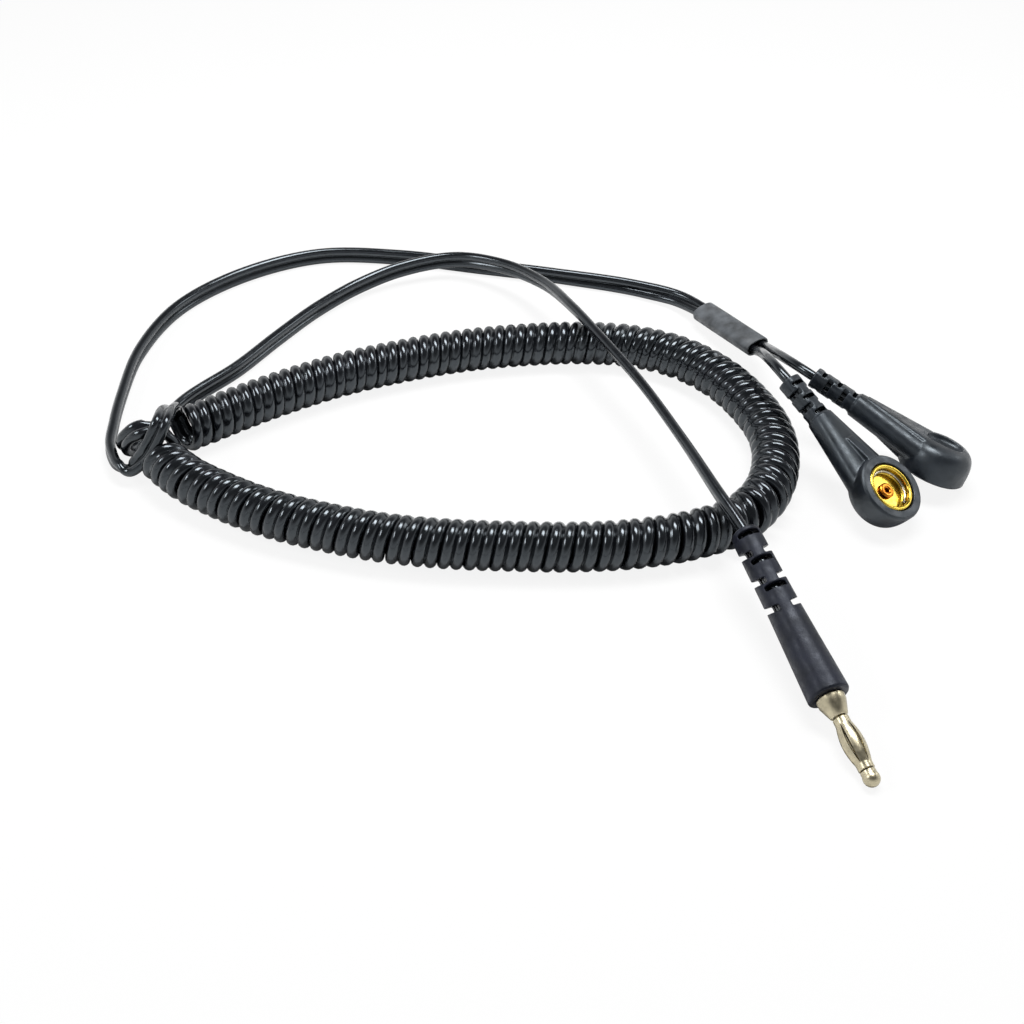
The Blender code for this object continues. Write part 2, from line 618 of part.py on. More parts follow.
def build_snap(label, head, neck, finishes):
    """One snap connector: moulded body, socket cup, ring spring, eyelet, lug, resistor and ferrule."""
    rim, floor, under, lug_top, lug_under = cup_levels()
    barrel_start = SNAP_REACH - BARREL_FROM_HEAD - BARREL_LENGTH
    channel = max(FERRULE_OUTER, RESISTOR_DIAMETER, BARREL_OUTER) / 2 + GAP
    pin = RESISTOR_PIN / 2

    body = piece(f"{label}_snap_body", head_shape(), finishes["shell"], head)
    shape_with(body, "UNION", f"{label}_neck_form", neck_shape(), neck)
    shape_with(body, "UNION", f"{label}_gusset", gusset_shape(), head)
    bar = [
        (height, SNAP_RELIEF_THICK / 2, SNAP_RELIEF_WIDTH / 2)
        for height in (0, SNAP_RELIEF_LENGTH + 2 * GAP)
    ]
    shape_with(body, "UNION", f"{label}_relief_form", loft(oval_loft(bar, RELIEF_POWER)), neck)
    shape_with(body, "DIFFERENCE", f"{label}_pocket", socket_pocket(), head)
    shape_with(body, "DIFFERENCE", f"{label}_bore", snap_bore(channel), neck)
    slots = relief_slots(
        SNAP_SLOT_FIRST, SNAP_SLOT_PITCH, SNAP_SLOT_COUNT, SNAP_SLOT_SPAN,
        SNAP_SLOT, SNAP_NOTCH, SNAP_WEB, SNAP_RELIEF_WIDTH,
    )
    shape_with(body, "DIFFERENCE", f"{label}_slots", slots, neck)
    shape_with(body, "DIFFERENCE", f"{label}_recess", finger_recess(), head)

    outer = CUP_OUTER / 2
    bore = CUP_BORE / 2
    hole = EYELET_OUTER / 2 + GAP
    groove = RING_OUTER / 2 + GAP
    groove_top = rim - CUP_LIP
    groove_under = groove_top - RING_WIRE - 2 * GAP
    piece(f"{label}_socket_cup", turned((
        (outer, rim), (outer, under), (hole, under), (hole, floor), (bore, floor), (bore, groove_under),
        (groove, groove_under), (groove, groove_top), (bore, groove_top), (bore, rim),
    ), hollow=True), finishes["brass"], head)

    ring_height = (groove_top + groove_under) / 2
    ring_radius = (RING_OUTER - RING_WIRE) / 2
    sweep = np.linspace(RING_SPLIT / 2, math.tau - RING_SPLIT / 2, RING_SPRING_POINTS)
    turn = np.arange(RING_SPRING_SIDES) * math.tau / RING_SPRING_SIDES
    reach = ring_radius + RING_WIRE / 2 * np.cos(turn)[None, :]
    rings = np.stack((
        reach * np.cos(sweep)[:, None], reach * np.sin(sweep)[:, None],
        ring_height + RING_WIRE / 2 * np.sin(turn)[None, :] + 0 * sweep[:, None],
    ), axis=-1)
    piece(f"{label}_ring_spring", loft(rings), finishes["steel"], head)

    shaft = EYELET_OUTER / 2
    inside = EYELET_BORE / 2
    flange = EYELET_FLANGE / 2
    top = floor + GAP
    low = lug_under - GAP
    piece(f"{label}_eyelet", turned((
        (flange, top + EYELET_FLANGE_THICK), (flange, top), (shaft, top), (shaft, low), (flange, low),
        (flange, low - EYELET_FLANGE_THICK), (inside, low - EYELET_FLANGE_THICK),
        (inside, top + EYELET_FLANGE_THICK),
    ), SMALL_ROUND, hollow=True), finishes["copper"], head)

    plate = LUG_OUTER / 2
    lug = piece(f"{label}_lug", turned(
        ((plate, lug_top), (plate, lug_under), (hole, lug_under), (hole, lug_top)), hollow=True
    ), finishes["tin"], head)
    barrel_bore = pin + GAP
    barrel_end = barrel_start + BARREL_LENGTH
    shape_with(lug, "UNION", f"{label}_barrel", turned((
        (BARREL_OUTER / 2, barrel_start), (BARREL_OUTER / 2, barrel_end),
        (barrel_bore, barrel_end), (barrel_bore, barrel_start),
    ), SMALL_ROUND, hollow=True), neck)
    shape_with(lug, "UNION", f"{label}_tongue", tongue_shape(lug_top, lug_under, hole), head)

    resistor_start = SNAP_RELIEF_LENGTH + GAP + FERRULE_LENGTH + GAP
    resistor_end = barrel_start - RESISTOR_CLEARANCE
    cap = RESISTOR_DIAMETER / 2
    waist = RESISTOR_WAIST / 2
    shoulder = RESISTOR_SHOULDER * (resistor_end - resistor_start)
    tip = cap * RESISTOR_END
    piece(f"{label}_resistor", turned((
        (pin, resistor_start - PIN_BEHIND), (pin, resistor_start), (tip, resistor_start),
        (cap, resistor_start + shoulder / 2), (cap, resistor_start + 2 * shoulder),
        (waist, resistor_start + 3 * shoulder), (waist, resistor_end - 3 * shoulder),
        (cap, resistor_end - 2 * shoulder), (cap, resistor_end - shoulder / 2), (tip, resistor_end),
        (pin, resistor_end), (pin, resistor_end + PIN_AHEAD),
    ), SMALL_ROUND), finishes["resistor"], neck)

    ferrule_start = SNAP_RELIEF_LENGTH + GAP
    ferrule_end = ferrule_start + FERRULE_LENGTH
    ferrule_bore = pin + GAP
    piece(f"{label}_ferrule", turned((
        (FERRULE_OUTER / 2, ferrule_start), (FERRULE_OUTER / 2, ferrule_end),
        (ferrule_bore, ferrule_end), (ferrule_bore, ferrule_start),
    ), SMALL_ROUND, hollow=True), finishes["tin"], neck)


def tongue_shape(lug_top, lug_under, hole):
    """A strip that steps down from the lug's plate to the end of the barrel."""
    half = LUG_TONGUE / 2
    from_plate = -(hole + LUG_OUTER / 2) / 2
    reach = BARREL_FROM_HEAD + HEAD_CHAMFER
    at_barrel = -reach * math.cos(SNAP_CANT)
    drop = -NECK_DEPTH - reach * math.sin(SNAP_CANT) + BARREL_OUTER / 2
    rings = []
    thick = LUG_THICK * TONGUE_SHARE
    for x, top in ((from_plate, (lug_top + lug_under + thick) / 2), (at_barrel, drop)):
        low = top - thick
        rings.append([(x, -half, top), (x, half, top), (x, half, low), (x, -half, low)])
    return loft(np.array(rings))


def build_plug(plug, finishes):
    """The banana plug: moulded handle with its relief, crimp, core and lantern spring."""
    joint = PLUG_RELIEF_LENGTH
    front = joint + HANDLE_LENGTH
    half_width = PLUG_RELIEF_WIDTH / 2
    half_height = PLUG_RELIEF_HEIGHT / 2
    rear_half = HANDLE_REAR / 2
    front_half = HANDLE_FRONT / 2
    sections = [(0, half_height * HANDLE_LEAD_IN, half_width * HANDLE_LEAD_IN)]
    sections.append((HEAD_CHAMFER, half_height, half_width))
    sections.append((joint, half_height, rear_half))
    for turn in np.linspace(0, math.pi / 2, FILLET_STEPS + 1):
        radius = front_half - HANDLE_ROUND * (1 - math.cos(turn))
        sections.append((front - HANDLE_ROUND * (1 - math.sin(turn)), radius, radius))
    handle = piece("plug_handle", loft(oval_loft(sections, HANDLE_POWER, ROUND)), finishes["handle"], plug)

    bore_x = WIRE + GAP
    bore_y = WIRE / 2 + GAP
    crimp_start = TWIN_INSERT + GAP
    crimp_end = crimp_start + CRIMP_LENGTH
    pocket_x = CRIMP_HEIGHT / 2 + GAP
    pocket_y = CRIMP_WIDTH / 2 + GAP
    shank = SHANK_DIAMETER / 2 + GAP
    bore = (
        (-HEAD_CHAMFER, bore_x, bore_y), (TWIN_INSERT - GAP, bore_x, bore_y),
        (TWIN_INSERT + GAP / 2, pocket_x, pocket_y), (crimp_end, pocket_x, pocket_y),
        (crimp_end + GAP, shank, shank), (front + HEAD_CHAMFER, shank, shank),
    )
    shape_with(handle, "DIFFERENCE", "plug_bore", loft(oval_loft(bore, HANDLE_POWER)), plug)
    slots = relief_slots(
        RELIEF_SLOT_FIRST, RELIEF_SLOT_PITCH, RELIEF_SLOT_COUNT, RELIEF_SLIT_SPAN,
        RELIEF_SLOT, RELIEF_NOTCH, RELIEF_WEB, PLUG_RELIEF_HEIGHT, RELIEF_SLANT,
    )
    shape_with(handle, "DIFFERENCE", "plug_slots", slots, plug)

    crimp = []
    for share, waist in ((0, 1), (1 / 4, 1), (2 / 5, CRIMP_WAIST), (3 / 5, CRIMP_WAIST), (3 / 4, 1), (1, 1)):
        crimp.append((crimp_start + CRIMP_LENGTH * share, CRIMP_HEIGHT / 2, CRIMP_WIDTH / 2 * waist))
    piece("conductor_crimp", loft(oval_loft(crimp, SLEEVE_POWER)), finishes["tin"], plug)

    collar_start = front + GAP
    cone_start = collar_start + COLLAR_LENGTH
    neck_start = cone_start + CONE_LENGTH
    lantern_start = neck_start + GAP
    lantern_end = lantern_start + LANTERN_LENGTH
    tip_start = lantern_end + GAP
    ball_start = tip_start + TIP_COLLAR_LENGTH
    collar = COLLAR_DIAMETER / 2
    ball = TIP_BALL / 2
    profile = [
        (SHANK_DIAMETER / 2, crimp_end + 2 * GAP), (SHANK_DIAMETER / 2, collar_start),
        (collar, collar_start), (collar, cone_start), (PIN_NECK / 2, neck_start),
        (MANDREL / 2, neck_start), (MANDREL / 2, tip_start),
        (TIP_COLLAR / 2, tip_start), (TIP_COLLAR / 2, ball_start),
    ]
    middle = ball_start + GAP - ball * math.sin(BALL_FROM)
    for turn in np.linspace(BALL_FROM, BALL_TO, 2 * FILLET_STEPS):
        profile.append((ball * math.cos(turn), middle + ball * math.sin(turn)))
    piece("plug_core", turned(profile), finishes["nickel"], plug)
    piece("lantern_spring", lantern_shape(lantern_start), finishes["spring"], plug)


def lantern_shape(start):
    """A thin barrel of leaves between two bands.

    The radius follows a sine from band to band. Each leaf is some columns wide, and the column after it is
    open between the bands.
    """
    columns = LANTERN_LEAVES * (LEAF_COLUMNS + 1)
    angle = np.arange(columns) * math.tau / columns
    leaf = np.linspace(0, 1, LEAF_ROWS)
    inner_band = MANDREL / 2 + GAP
    outer_band = inner_band + LANTERN_WALL
    leaves = LANTERN_LENGTH - 2 * LANTERN_BAND
    height = np.concatenate(((0,), LANTERN_BAND + leaves * leaf, (LANTERN_LENGTH,)))
    outer = outer_band + (LANTERN_BULGE / 2 - outer_band) * np.sin(math.pi * leaf)
    outer = np.concatenate(((outer_band,), outer, (outer_band,)))
    surfaces = []
    for radius in (outer, outer - LANTERN_WALL):
        rings = np.stack((
            radius[:, None] * np.cos(angle),
            radius[:, None] * np.sin(angle),
            height[:, None] + start + 0 * angle,
        ), axis=-1)
        surfaces.append(rings.reshape(-1, 3))
    rows = len(height) - 1

    def filled(row, column):
        if row < 0 or row >= rows:
            return False
        return row in (0, rows - 1) or column % (LEAF_COLUMNS + 1) != LEAF_COLUMNS

    inside = len(surfaces[0])
    faces = []
    for row in range(rows):
        for column in range(columns):
            if not filled(row, column):
                continue
            after = (column + 1) % columns
            corner = (
                row * columns + column, row * columns + after,
                (row + 1) * columns + after, (row + 1) * columns + column,
            )
            faces.append(corner)
            faces.append(tuple(index + inside for index in reversed(corner)))
            beside = (
                (filled(row - 1, column), 0), (filled(row, (column + 1) % columns), 1),
                (filled(row + 1, column), 2), (filled(row, (column - 1) % columns), 3),
            )
            for joined, edge in beside:
                if not joined:
                    first, second = corner[edge], corner[(edge + 1) % 4]
                    faces.append((second, first, first + inside, second + inside))
    return np.concatenate(surfaces), faces


def main():
    for obj in list(bpy.data.objects):
        bpy.data.objects.remove(obj)
    jacket = finish("black_jacket", (0.012, 0.012, 0.014), 0.28)
    sleeve_finish = finish("grey_sleeve", (0.05, 0.05, 0.055), 0.75)
    finishes = {
        "shell": finish("black_shell", (0.02, 0.021, 0.024), 0.42),
        "handle": finish("matte_handle", (0.02, 0.02, 0.021), 0.62),
        "brass": finish("yellow_brass", (0.80, 0.58, 0.22), 0.25, 1.0),
        "copper": finish("red_copper", (0.75, 0.33, 0.16), 0.35, 1.0),
        "steel": finish("spring_steel", (0.62, 0.58, 0.5), 0.3, 1.0),
        "tin": finish("tinned_metal", (0.66, 0.66, 0.64), 0.35, 1.0),
        "nickel": finish("nickel_core", (0.74, 0.69, 0.6), 0.24, 1.0),
        "spring": finish("nickel_spring", (0.78, 0.72, 0.6), 0.22, 1.0),
        "resistor": finish("resistor_body", (0.22, 0.35, 0.47), 0.5),
    }
    front_head, front_neck = place_snap("front", FRONT_FACE, FRONT_FACING, FRONT_TIP)
    rear_head, rear_neck = place_snap("rear", REAR_FACE, REAR_FACING, REAR_TIP)
    plug = placed_empty("plug_axis", lay(PLUG_REAR), PLUG_UP, PLUG_HEADING)
    bpy.context.view_layer.update()
    build_cord(jacket, sleeve_finish, (front_neck, rear_neck), plug)
    build_snap("front", front_head, front_neck, finishes)
    build_snap("rear", rear_head, rear_neck, finishes)
    build_plug(plug, finishes)


if __name__ == "__main__":
    main()
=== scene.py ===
"""Looks of a curly twin ground cord with a lantern banana plug and two snap sockets.

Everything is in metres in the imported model's own frame, and lies on the table z = 0.
"""

import math

import bmesh
import bpy
import numpy as np
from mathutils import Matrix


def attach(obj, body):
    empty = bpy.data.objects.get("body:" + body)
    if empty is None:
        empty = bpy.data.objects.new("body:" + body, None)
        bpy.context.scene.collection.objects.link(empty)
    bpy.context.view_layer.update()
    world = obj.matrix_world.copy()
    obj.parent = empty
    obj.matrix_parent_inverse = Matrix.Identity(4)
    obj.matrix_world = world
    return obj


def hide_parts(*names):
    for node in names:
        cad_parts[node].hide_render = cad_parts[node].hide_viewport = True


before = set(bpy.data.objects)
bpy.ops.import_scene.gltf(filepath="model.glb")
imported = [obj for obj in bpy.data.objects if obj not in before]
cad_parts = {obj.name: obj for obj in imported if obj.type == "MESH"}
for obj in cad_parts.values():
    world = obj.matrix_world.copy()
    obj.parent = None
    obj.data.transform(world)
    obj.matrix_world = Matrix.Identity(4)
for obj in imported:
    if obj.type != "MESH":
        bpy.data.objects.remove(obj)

bl_info = {
    "name": "Curly Ground Cord",
    "version": (1, 0, 0),
    "blender": (4, 5, 0),
    "location": "View3D > Sidebar > Ground Cord",
    "description": "Builds a curly twin ground cord with a lantern plug and two snap sockets",
    "category": "Object",
}

MM = 0.001
UP = np.array((0.0, 0.0, 1.0))
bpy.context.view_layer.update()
BODY = "cord"

# The middle of the outline on the table, and the curls' axis there
LAY_CENTRE = np.array((0.00314, 0.01556, 0.0))
COIL_AXIS = (
    (-0.0838, 0.0216), (-0.0792, 0.0160), (-0.0746, 0.0104), (-0.0690, 0.0050), (-0.0615, 0.0000),
    (-0.0500, -0.0060), (-0.0380, -0.0102), (-0.0260, -0.0133), (-0.0130, -0.0151), (0.0000, -0.0158),
    (0.0130, -0.0160), (0.0260, -0.0149), (0.0370, -0.0123), (0.0459, -0.0082), (0.0526, -0.0010),
    (0.0566, 0.0090), (0.0573, 0.0202), (0.0540, 0.0316), (0.0475, 0.0425), (0.0390, 0.0500),
    (0.0290, 0.0542), (0.0165, 0.0556), (0.0030, 0.0548), (-0.0120, 0.0523), (-0.0265, 0.0480),
    (-0.0403, 0.0425), (-0.0530, 0.0355), (-0.0620, 0.0296), (-0.0695, 0.0241),
    (-0.0723, 0.0220),
)
# Each row is a point of the twin and the direction of its broad side there
SNAP_TAIL = (
    (-0.0756, 0.0247, 0.0086, -0.85, -0.5, 0.0), (-0.0754, 0.0215, 0.0110, -0.95, -0.2, 0.0),
    (-0.0751, 0.0133, 0.0130, -0.95, 0.2, 0.0), (-0.0773, 0.0115, 0.0092, -0.92, 0.4, 0.0),
    (-0.0801, 0.0111, 0.0054, -0.85, 0.5, 0.0), (-0.0827, 0.0107, 0.0032, -0.6, 0.75, -0.2),
    (-0.0859, 0.0127, 0.0024, -0.3, 0.6, -0.7), (-0.0890, 0.0181, 0.0022, -0.2, 0.15, -0.95),
    (-0.0904, 0.0271, 0.0022, -0.2, 0.0, -0.98), (-0.0911, 0.0385, 0.0022, -0.2, 0.0, -0.98),
    (-0.0907, 0.0560, 0.0022, -0.1, 0.0, -1.0), (-0.0847, 0.0757, 0.0022, 0.0, 0.0, -1.0),
    (-0.0718, 0.0905, 0.0022, 0.0, 0.0, -1.0), (-0.0518, 0.1007, 0.0022, 0.0, 0.0, -1.0),
    (-0.0302, 0.1001, 0.0022, 0.0, 0.0, -1.0), (-0.0090, 0.0955, 0.0022, 0.0, 0.0, -1.0),
    (0.0127, 0.0905, 0.0022, 0.0, 0.0, -1.0), (0.0333, 0.0842, 0.0023, -0.4, -0.2, -0.9),
    (0.0426, 0.0792, 0.0026, -0.7, -0.4, -0.6),
)
PLUG_TAIL = (
    (-0.0796, 0.0276, 0.0019, 0.5, -0.4, 0.7), (-0.0768, 0.0337, 0.0022, 0.0, 0.0, 1.0),
    (-0.0654, 0.0493, 0.0022, 0.0, 0.0, 1.0), (-0.0576, 0.0624, 0.0022, 0.0, 0.0, 1.0),
    (-0.0492, 0.0750, 0.0023, 0.0, 0.0, 1.0), (-0.0398, 0.0845, 0.0030, 0.0, 0.0, 1.0),
    (-0.0294, 0.0906, 0.0042, 0.0, 0.0, 1.0), (-0.0150, 0.0936, 0.0054, 0.0, 0.0, 1.0),
    (-0.0020, 0.0875, 0.0070, -0.2, 0.0, 1.0), (0.0070, 0.0772, 0.0090, -0.4, -0.1, 0.9),
    (0.0147, 0.0600, 0.0122, -0.5, -0.2, 0.83), (0.0205, 0.0467, 0.0130, -0.5, -0.2, 0.83),
    (0.0286, 0.0298, 0.0124, -0.5, -0.2, 0.83), (0.0357, 0.0106, 0.0122, -0.45, -0.22, 0.85),
    (0.0410, -0.0080, 0.0132, -0.3, -0.25, 0.9),
)
SLEEVE_REAR = (0.0483, 0.0721, 0.0034)
SLEEVE_HEADING = (10.5, -20.3, 3.1)
SLEEVE_BROAD = (-0.86, -0.44, -0.2)
LEAD_SIDE = {"front": 1.0, "rear": -1.0}
# Each snap's socket face, the way it faces and the way its tip points
SNAP_PLACES = {
    "front": ((0.07868, -0.00195, 0.00885), (0.408, -0.316, 0.856), (0.512, -0.712, -0.474)),
    "rear": ((0.09053, 0.0101, 0.00273), (-0.316, -0.211, -0.925), (0.798, -0.527, -0.292)),
}
PLUG_REAR = (0.0453, -0.0203, 0.0124)
PLUG_HEADING = (16.5, -50.4, -11.05)
PLUG_UP = (-0.2, -0.1, 0.97)
VIEW_CENTRE = (-0.00314, -0.01556, 0.0)

# Fineness of the surfaces
AXIS_FINE = 40
CURL_RINGS = 40
TAIL_SAMPLES = 12
LEAD_SAMPLES = 14
LOBE_POINTS = 13
LEAD_SIDES = 24
RING_SIDES = 16
TURN_SEGMENTS = 96
PIN_SEGMENTS = 64
HOLE_SEGMENTS = 32
OVAL_POINTS = 64
SLOT_POINTS = 32
ROUND_STEPS = 10
DOME_STEPS = 24
RECESS_STEPS = 12
NECK_STATIONS = 24
LEAF_ROWS = 33
LEAF_COLUMNS = 9
MOULD_GRAIN = 0.155 * MM
SOFTEN_PASSES = 4
SOFTEN_FACTOR = 0.5
EDGE_ANGLE = math.radians(38.0)

# A power shapes a superellipse, which is round at 2 and nears a rectangle as it grows.
# Forms of the cord: the curls' spread and swell, the leads' pull at each end, and the sleeve's section,
# its slack in clearances and its waves as shares of its length and wall
SPREAD_END = 2.2
SWELL_LIMIT = 1.16
LEAD_LEAVE = 0.1
LEAD_ARRIVE = 0.35
SLEEVE_POWER = 2.6
SLEEVE_SLACK = 1.5
SLEEVE_WAVES = ((0.33, 1.06), (0.66, 0.98))

# Forms of the snaps
HEAD_POWER = 4.0
DOME_FROM = math.radians(3.0)
DOME_TO = math.radians(88.0)
FACE_SKIN = 0.06 * MM
FACE_INSET = 0.3 * MM
FACE_GAP = 0.12 * MM
FACE_PROUD = 0.02 * MM
NECK_POWER = 2.5
NECK_LEAD_IN = 0.9
RELIEF_POWER = 3.0
RELIEF_LEAD_IN = 0.94
SNAP_SLOTS = 5
SLOT_POWER = 5.0
RECESS_POWER = 2.4
RECESS_ABOVE = 0.6
RECESS_CLOSE = 0.8
RECESS_STEEP = 5
GUSSET_RISE = 0.25 * MM
GUSSET_DROP = 0.1 * MM
RIDGE_INSET = 1.8 * MM
RIDGE_RISE = 0.2 * MM
RIDGE_POWER = 7.0
CUP_ROUND = 0.5 * MM
CROWN_FLAT = 0.45

# Forms of the plug: its mouldings, the taper of its collar, its ball tip and the lantern's leaves
PLUG_POWER = 2.2
PLUG_LEAD_IN = 0.93
PLUG_SLOTS = 6
CORE_LIP = 0.25 * MM
COLLAR_TAPER = (0.97, 0.9)
TIP_FROM = -0.3
TIP_TO = 1.5
BOW_POWER = 0.9
LEAF_HALF = 0.5
LEAF_WAIST = 0.13
LEAF_WAIST_POWER = 0.5

# Noise of the finishes: its detail, the tint's stops, and the scale and range behind the roughness
CLOUD_DETAIL = 5.0
SMEAR_DETAIL = 3.0
GRAIN_DETAIL = 2.0
TINT_STOPS = (0.35, 0.68)
SMEAR_SCALE = 2.3
SMEAR_RANGE = (0.3, 0.7)
COOL_SHINE = (0.82, 0.92, 1.0, 1.0)
BLUE_SHINE = (0.82, 0.88, 1.0, 1.0)

# The stage, and each lamp's place, size and share of the key's power
WHITE = (1.0, 1.0, 1.0, 1.0)
TABLE_HALF = 3.0
TABLE_DROP = 0.02 * MM
TABLE_TONE = (0.92, 0.92, 0.92, 1.0)
TABLE_ROUGHNESS = 0.9
TABLE_WHITE = 0.88
LAMPS = {
    "overhead_lamp": ((0.05, 0.10, 0.42), (0.14, 0.30), 1.0),
    "left_lamp": ((-0.40, -0.05, 0.35), (0.10, 0.20), 0.4),
    "right_lamp": ((0.45, 0.14, 0.26), (0.10, 0.16), 0.12),
}
LAMP_SIDE = (1e-3, 0.0, 1.0)
SENSOR = 36.0
CLIP_START = 0.01
CLIP_END = 20.0


def unit(vector):
    """The vector divided by its length."""
    vector = np.asarray(vector, float)
    return vector / np.linalg.norm(vector, axis=-1, keepdims=True)


def lay(point):
    """A place on the table about the middle of the outline."""
    return np.asarray(point, float) - LAY_CENTRE


def axes(origin, x_axis, z_axis):
    """A 4 x 4 frame whose Z runs along z_axis and whose X leans towards x_axis."""
    z_axis = unit(z_axis)
    x_axis = np.asarray(x_axis, float)
    x_axis = unit(x_axis - np.dot(x_axis, z_axis) * z_axis)
    matrix = np.eye(4)
    matrix[:3, 0] = x_axis
    matrix[:3, 1] = np.cross(z_axis, x_axis)
    matrix[:3, 2] = z_axis
    matrix[:3, 3] = origin
    return matrix


def put(matrix, points):
    """Points carried by a 4 x 4 frame."""
    return points @ matrix[:3, :3].T + matrix[:3, 3]


def smooth_curve(points, samples):
    """Cubic curve through the points, its slope at each point taken over the point's neighbours."""
    points = np.asarray(points, float)
    steps = np.linalg.norm(np.diff(points, axis=0), axis=1)
    slope = np.gradient(points, np.concatenate(((0.0,), np.cumsum(steps))), axis=0)
    u = np.linspace(0, 1, samples, endpoint=False)[None, :, None]
    step = steps[:, None, None]
    first, last = points[:-1, None], points[1:, None]
    leave, arrive = slope[:-1, None] * step, slope[1:, None] * step
    curve = (
        (2 * u**3 - 3 * u**2 + 1) * first
        + (u**3 - 2 * u**2 + u) * leave
        + (3 * u**2 - 2 * u**3) * last
        + (u**3 - u**2) * arrive
    )
    return np.concatenate((curve.reshape(-1, points.shape[1]), points[-1:]))


def bend(start, leave, arrive, stop):
    """A cubic Bezier arc from start to stop, pulled towards the two points between."""
    u = np.linspace(0, 1, 4 * LEAD_SAMPLES)[:, None]
    return (1 - u) ** 3 * start + 3 * u * (1 - u) ** 2 * leave + 3 * u**2 * (1 - u) * arrive + u**3 * stop


def loft_arrays(rings, looped, first):
    """Corner indices, face sizes and UVs of a loft.

    Neighbouring rings are joined by quads. A looped loft joins its last ring to its first, any other gets a
    cap at each end. U is the share of the way round, V the length along the rings' middles.
    """
    rows, count = rings.shape[:2]
    middle = rings.mean(axis=1)
    along = np.concatenate(((0.0,), np.cumsum(np.linalg.norm(np.diff(middle, axis=0), axis=1)), (0.0,)))
    row = np.arange(rows if looped else rows - 1)[:, None]
    column = np.arange(count)[None, :]
    after = (column + 1) % count
    below = (row + 1) % rows
    quads = np.stack(
        (row * count + column, row * count + after, below * count + after, below * count + column), axis=-1
    )
    across = np.stack((column, column + 1, column + 1, column), axis=-1) / count + 0 * row[:, :, None]
    here = along[row]
    there = along[row + 1]
    down = np.stack((here, here, there, there), axis=-1) + 0 * column[:, :, None]
    loops = quads.reshape(-1) + first
    sizes = np.full(quads.shape[0] * count, 4)
    uv = np.stack((across.reshape(-1), down.reshape(-1)), axis=-1)
    if looped:
        return loops, sizes, uv
    ends = np.concatenate((np.arange(count)[::-1], np.arange((rows - 1) * count, rows * count))) + first
    return (
        np.concatenate((loops, ends)),
        np.concatenate((sizes, (count, count))),
        np.concatenate((uv, np.zeros((2 * count, 2)))),
    )


def mesh_of(name, lofts):
    """One mesh from lofts, each an array of (rings, points, 3) and whether it is looped."""
    points, loops, sizes, uvs = [], [], [], []
    first = 0
    for rings, looped in lofts:
        corner, size, uv = loft_arrays(rings, looped, first)
        points.append(rings.reshape(-1, 3))
        loops.append(corner)
        sizes.append(size)
        uvs.append(uv)
        first += rings.shape[0] * rings.shape[1]
    points = np.concatenate(points).astype(np.float32)
    loops = np.concatenate(loops).astype(np.int32)
    sizes = np.concatenate(sizes)
    starts = np.concatenate(((0,), np.cumsum(sizes)[:-1])).astype(np.int32)
    mesh = bpy.data.meshes.new(name)
    mesh.vertices.add(len(points))
    mesh.vertices.foreach_set("co", points.ravel())
    mesh.loops.add(len(loops))
    mesh.loops.foreach_set("vertex_index", loops)
    mesh.polygons.add(len(starts))
    mesh.polygons.foreach_set("loop_start", starts)
    mesh.update(calc_edges=True)
    layer = mesh.uv_layers.new(name="surface")
    layer.uv.foreach_set("vector", np.concatenate(uvs).astype(np.float32).ravel())
    bm = bmesh.new()
    bm.from_mesh(mesh)
    bmesh.ops.recalc_face_normals(bm, faces=bm.faces)
    bm.to_mesh(mesh)
    bm.free()
    return mesh


def piece(name, lofts, material, body=BODY):
    """A finished object from lofts, smooth but for its sharp edges, riding on a body."""
    mesh = mesh_of(name, lofts)
    mesh.shade_smooth()
    mesh.set_sharp_from_angle(angle=EDGE_ANGLE)
    mesh.materials.append(material)
    obj = bpy.data.objects.new(name, mesh)
    bpy.context.collection.objects.link(obj)
    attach(obj, body)
    return obj


def helper(name, lofts):
    """A form that only shapes another piece and is removed afterwards."""
    obj = bpy.data.objects.new(name, mesh_of(name, lofts))
    bpy.context.collection.objects.link(obj)
    return obj


def moulded(name, joined, cut, material):
    """A moulded piece: forms joined and cut, then remade at the mould's grain and softened at its edges."""
    obj = helper(name, [(joined[0], False)])
    tools = []
    for operation, forms in (("UNION", joined[1:]), ("DIFFERENCE", cut)):
        for index, form in enumerate(forms):
            tool = helper(f"{name}_{operation.lower()}_{index}", [(form, False)])
            modifier = obj.modifiers.new(tool.name, "BOOLEAN")
            modifier.operation = operation
            modifier.solver = "MANIFOLD"
            modifier.object = tool
            tools.append(tool)
    remesh = obj.modifiers.new("grain", "REMESH")
    remesh.mode = "VOXEL"
    remesh.voxel_size = MOULD_GRAIN
    smooth = obj.modifiers.new("soft_edges", "SMOOTH")
    smooth.factor = SOFTEN_FACTOR
    smooth.iterations = SOFTEN_PASSES
    graph = bpy.context.evaluated_depsgraph_get()
    mesh = bpy.data.meshes.new_from_object(obj.evaluated_get(graph))
    plain = obj.data
    obj.modifiers.clear()
    obj.data = mesh
    bpy.data.meshes.remove(plain)
    mesh.name = name
    for tool in tools:
        shape = tool.data
        bpy.data.objects.remove(tool)
        bpy.data.meshes.remove(shape)
    mesh.materials.clear()
    mesh.materials.append(material)
    mesh.shade_smooth()
    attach(obj, BODY)
    return obj


def turned(profile, segments=TURN_SEGMENTS):
    """Rings of a profile of (radius, height) rows turned about Z."""
    radius, height = np.asarray(profile, float).T[:, :, None]
    angle = np.arange(segments) * math.tau / segments
    return np.stack((radius * np.cos(angle), radius * np.sin(angle), height + 0 * angle), axis=-1)


def arc(centre, radius, start, stop, steps=ROUND_STEPS):
    """Rows of a circle's arc in the (radius, height) plane, between two angles in degrees."""
    turn = np.radians(np.linspace(start, stop, steps))
    return np.stack((centre[0] + radius * np.cos(turn), centre[1] + radius * np.sin(turn)), axis=-1)


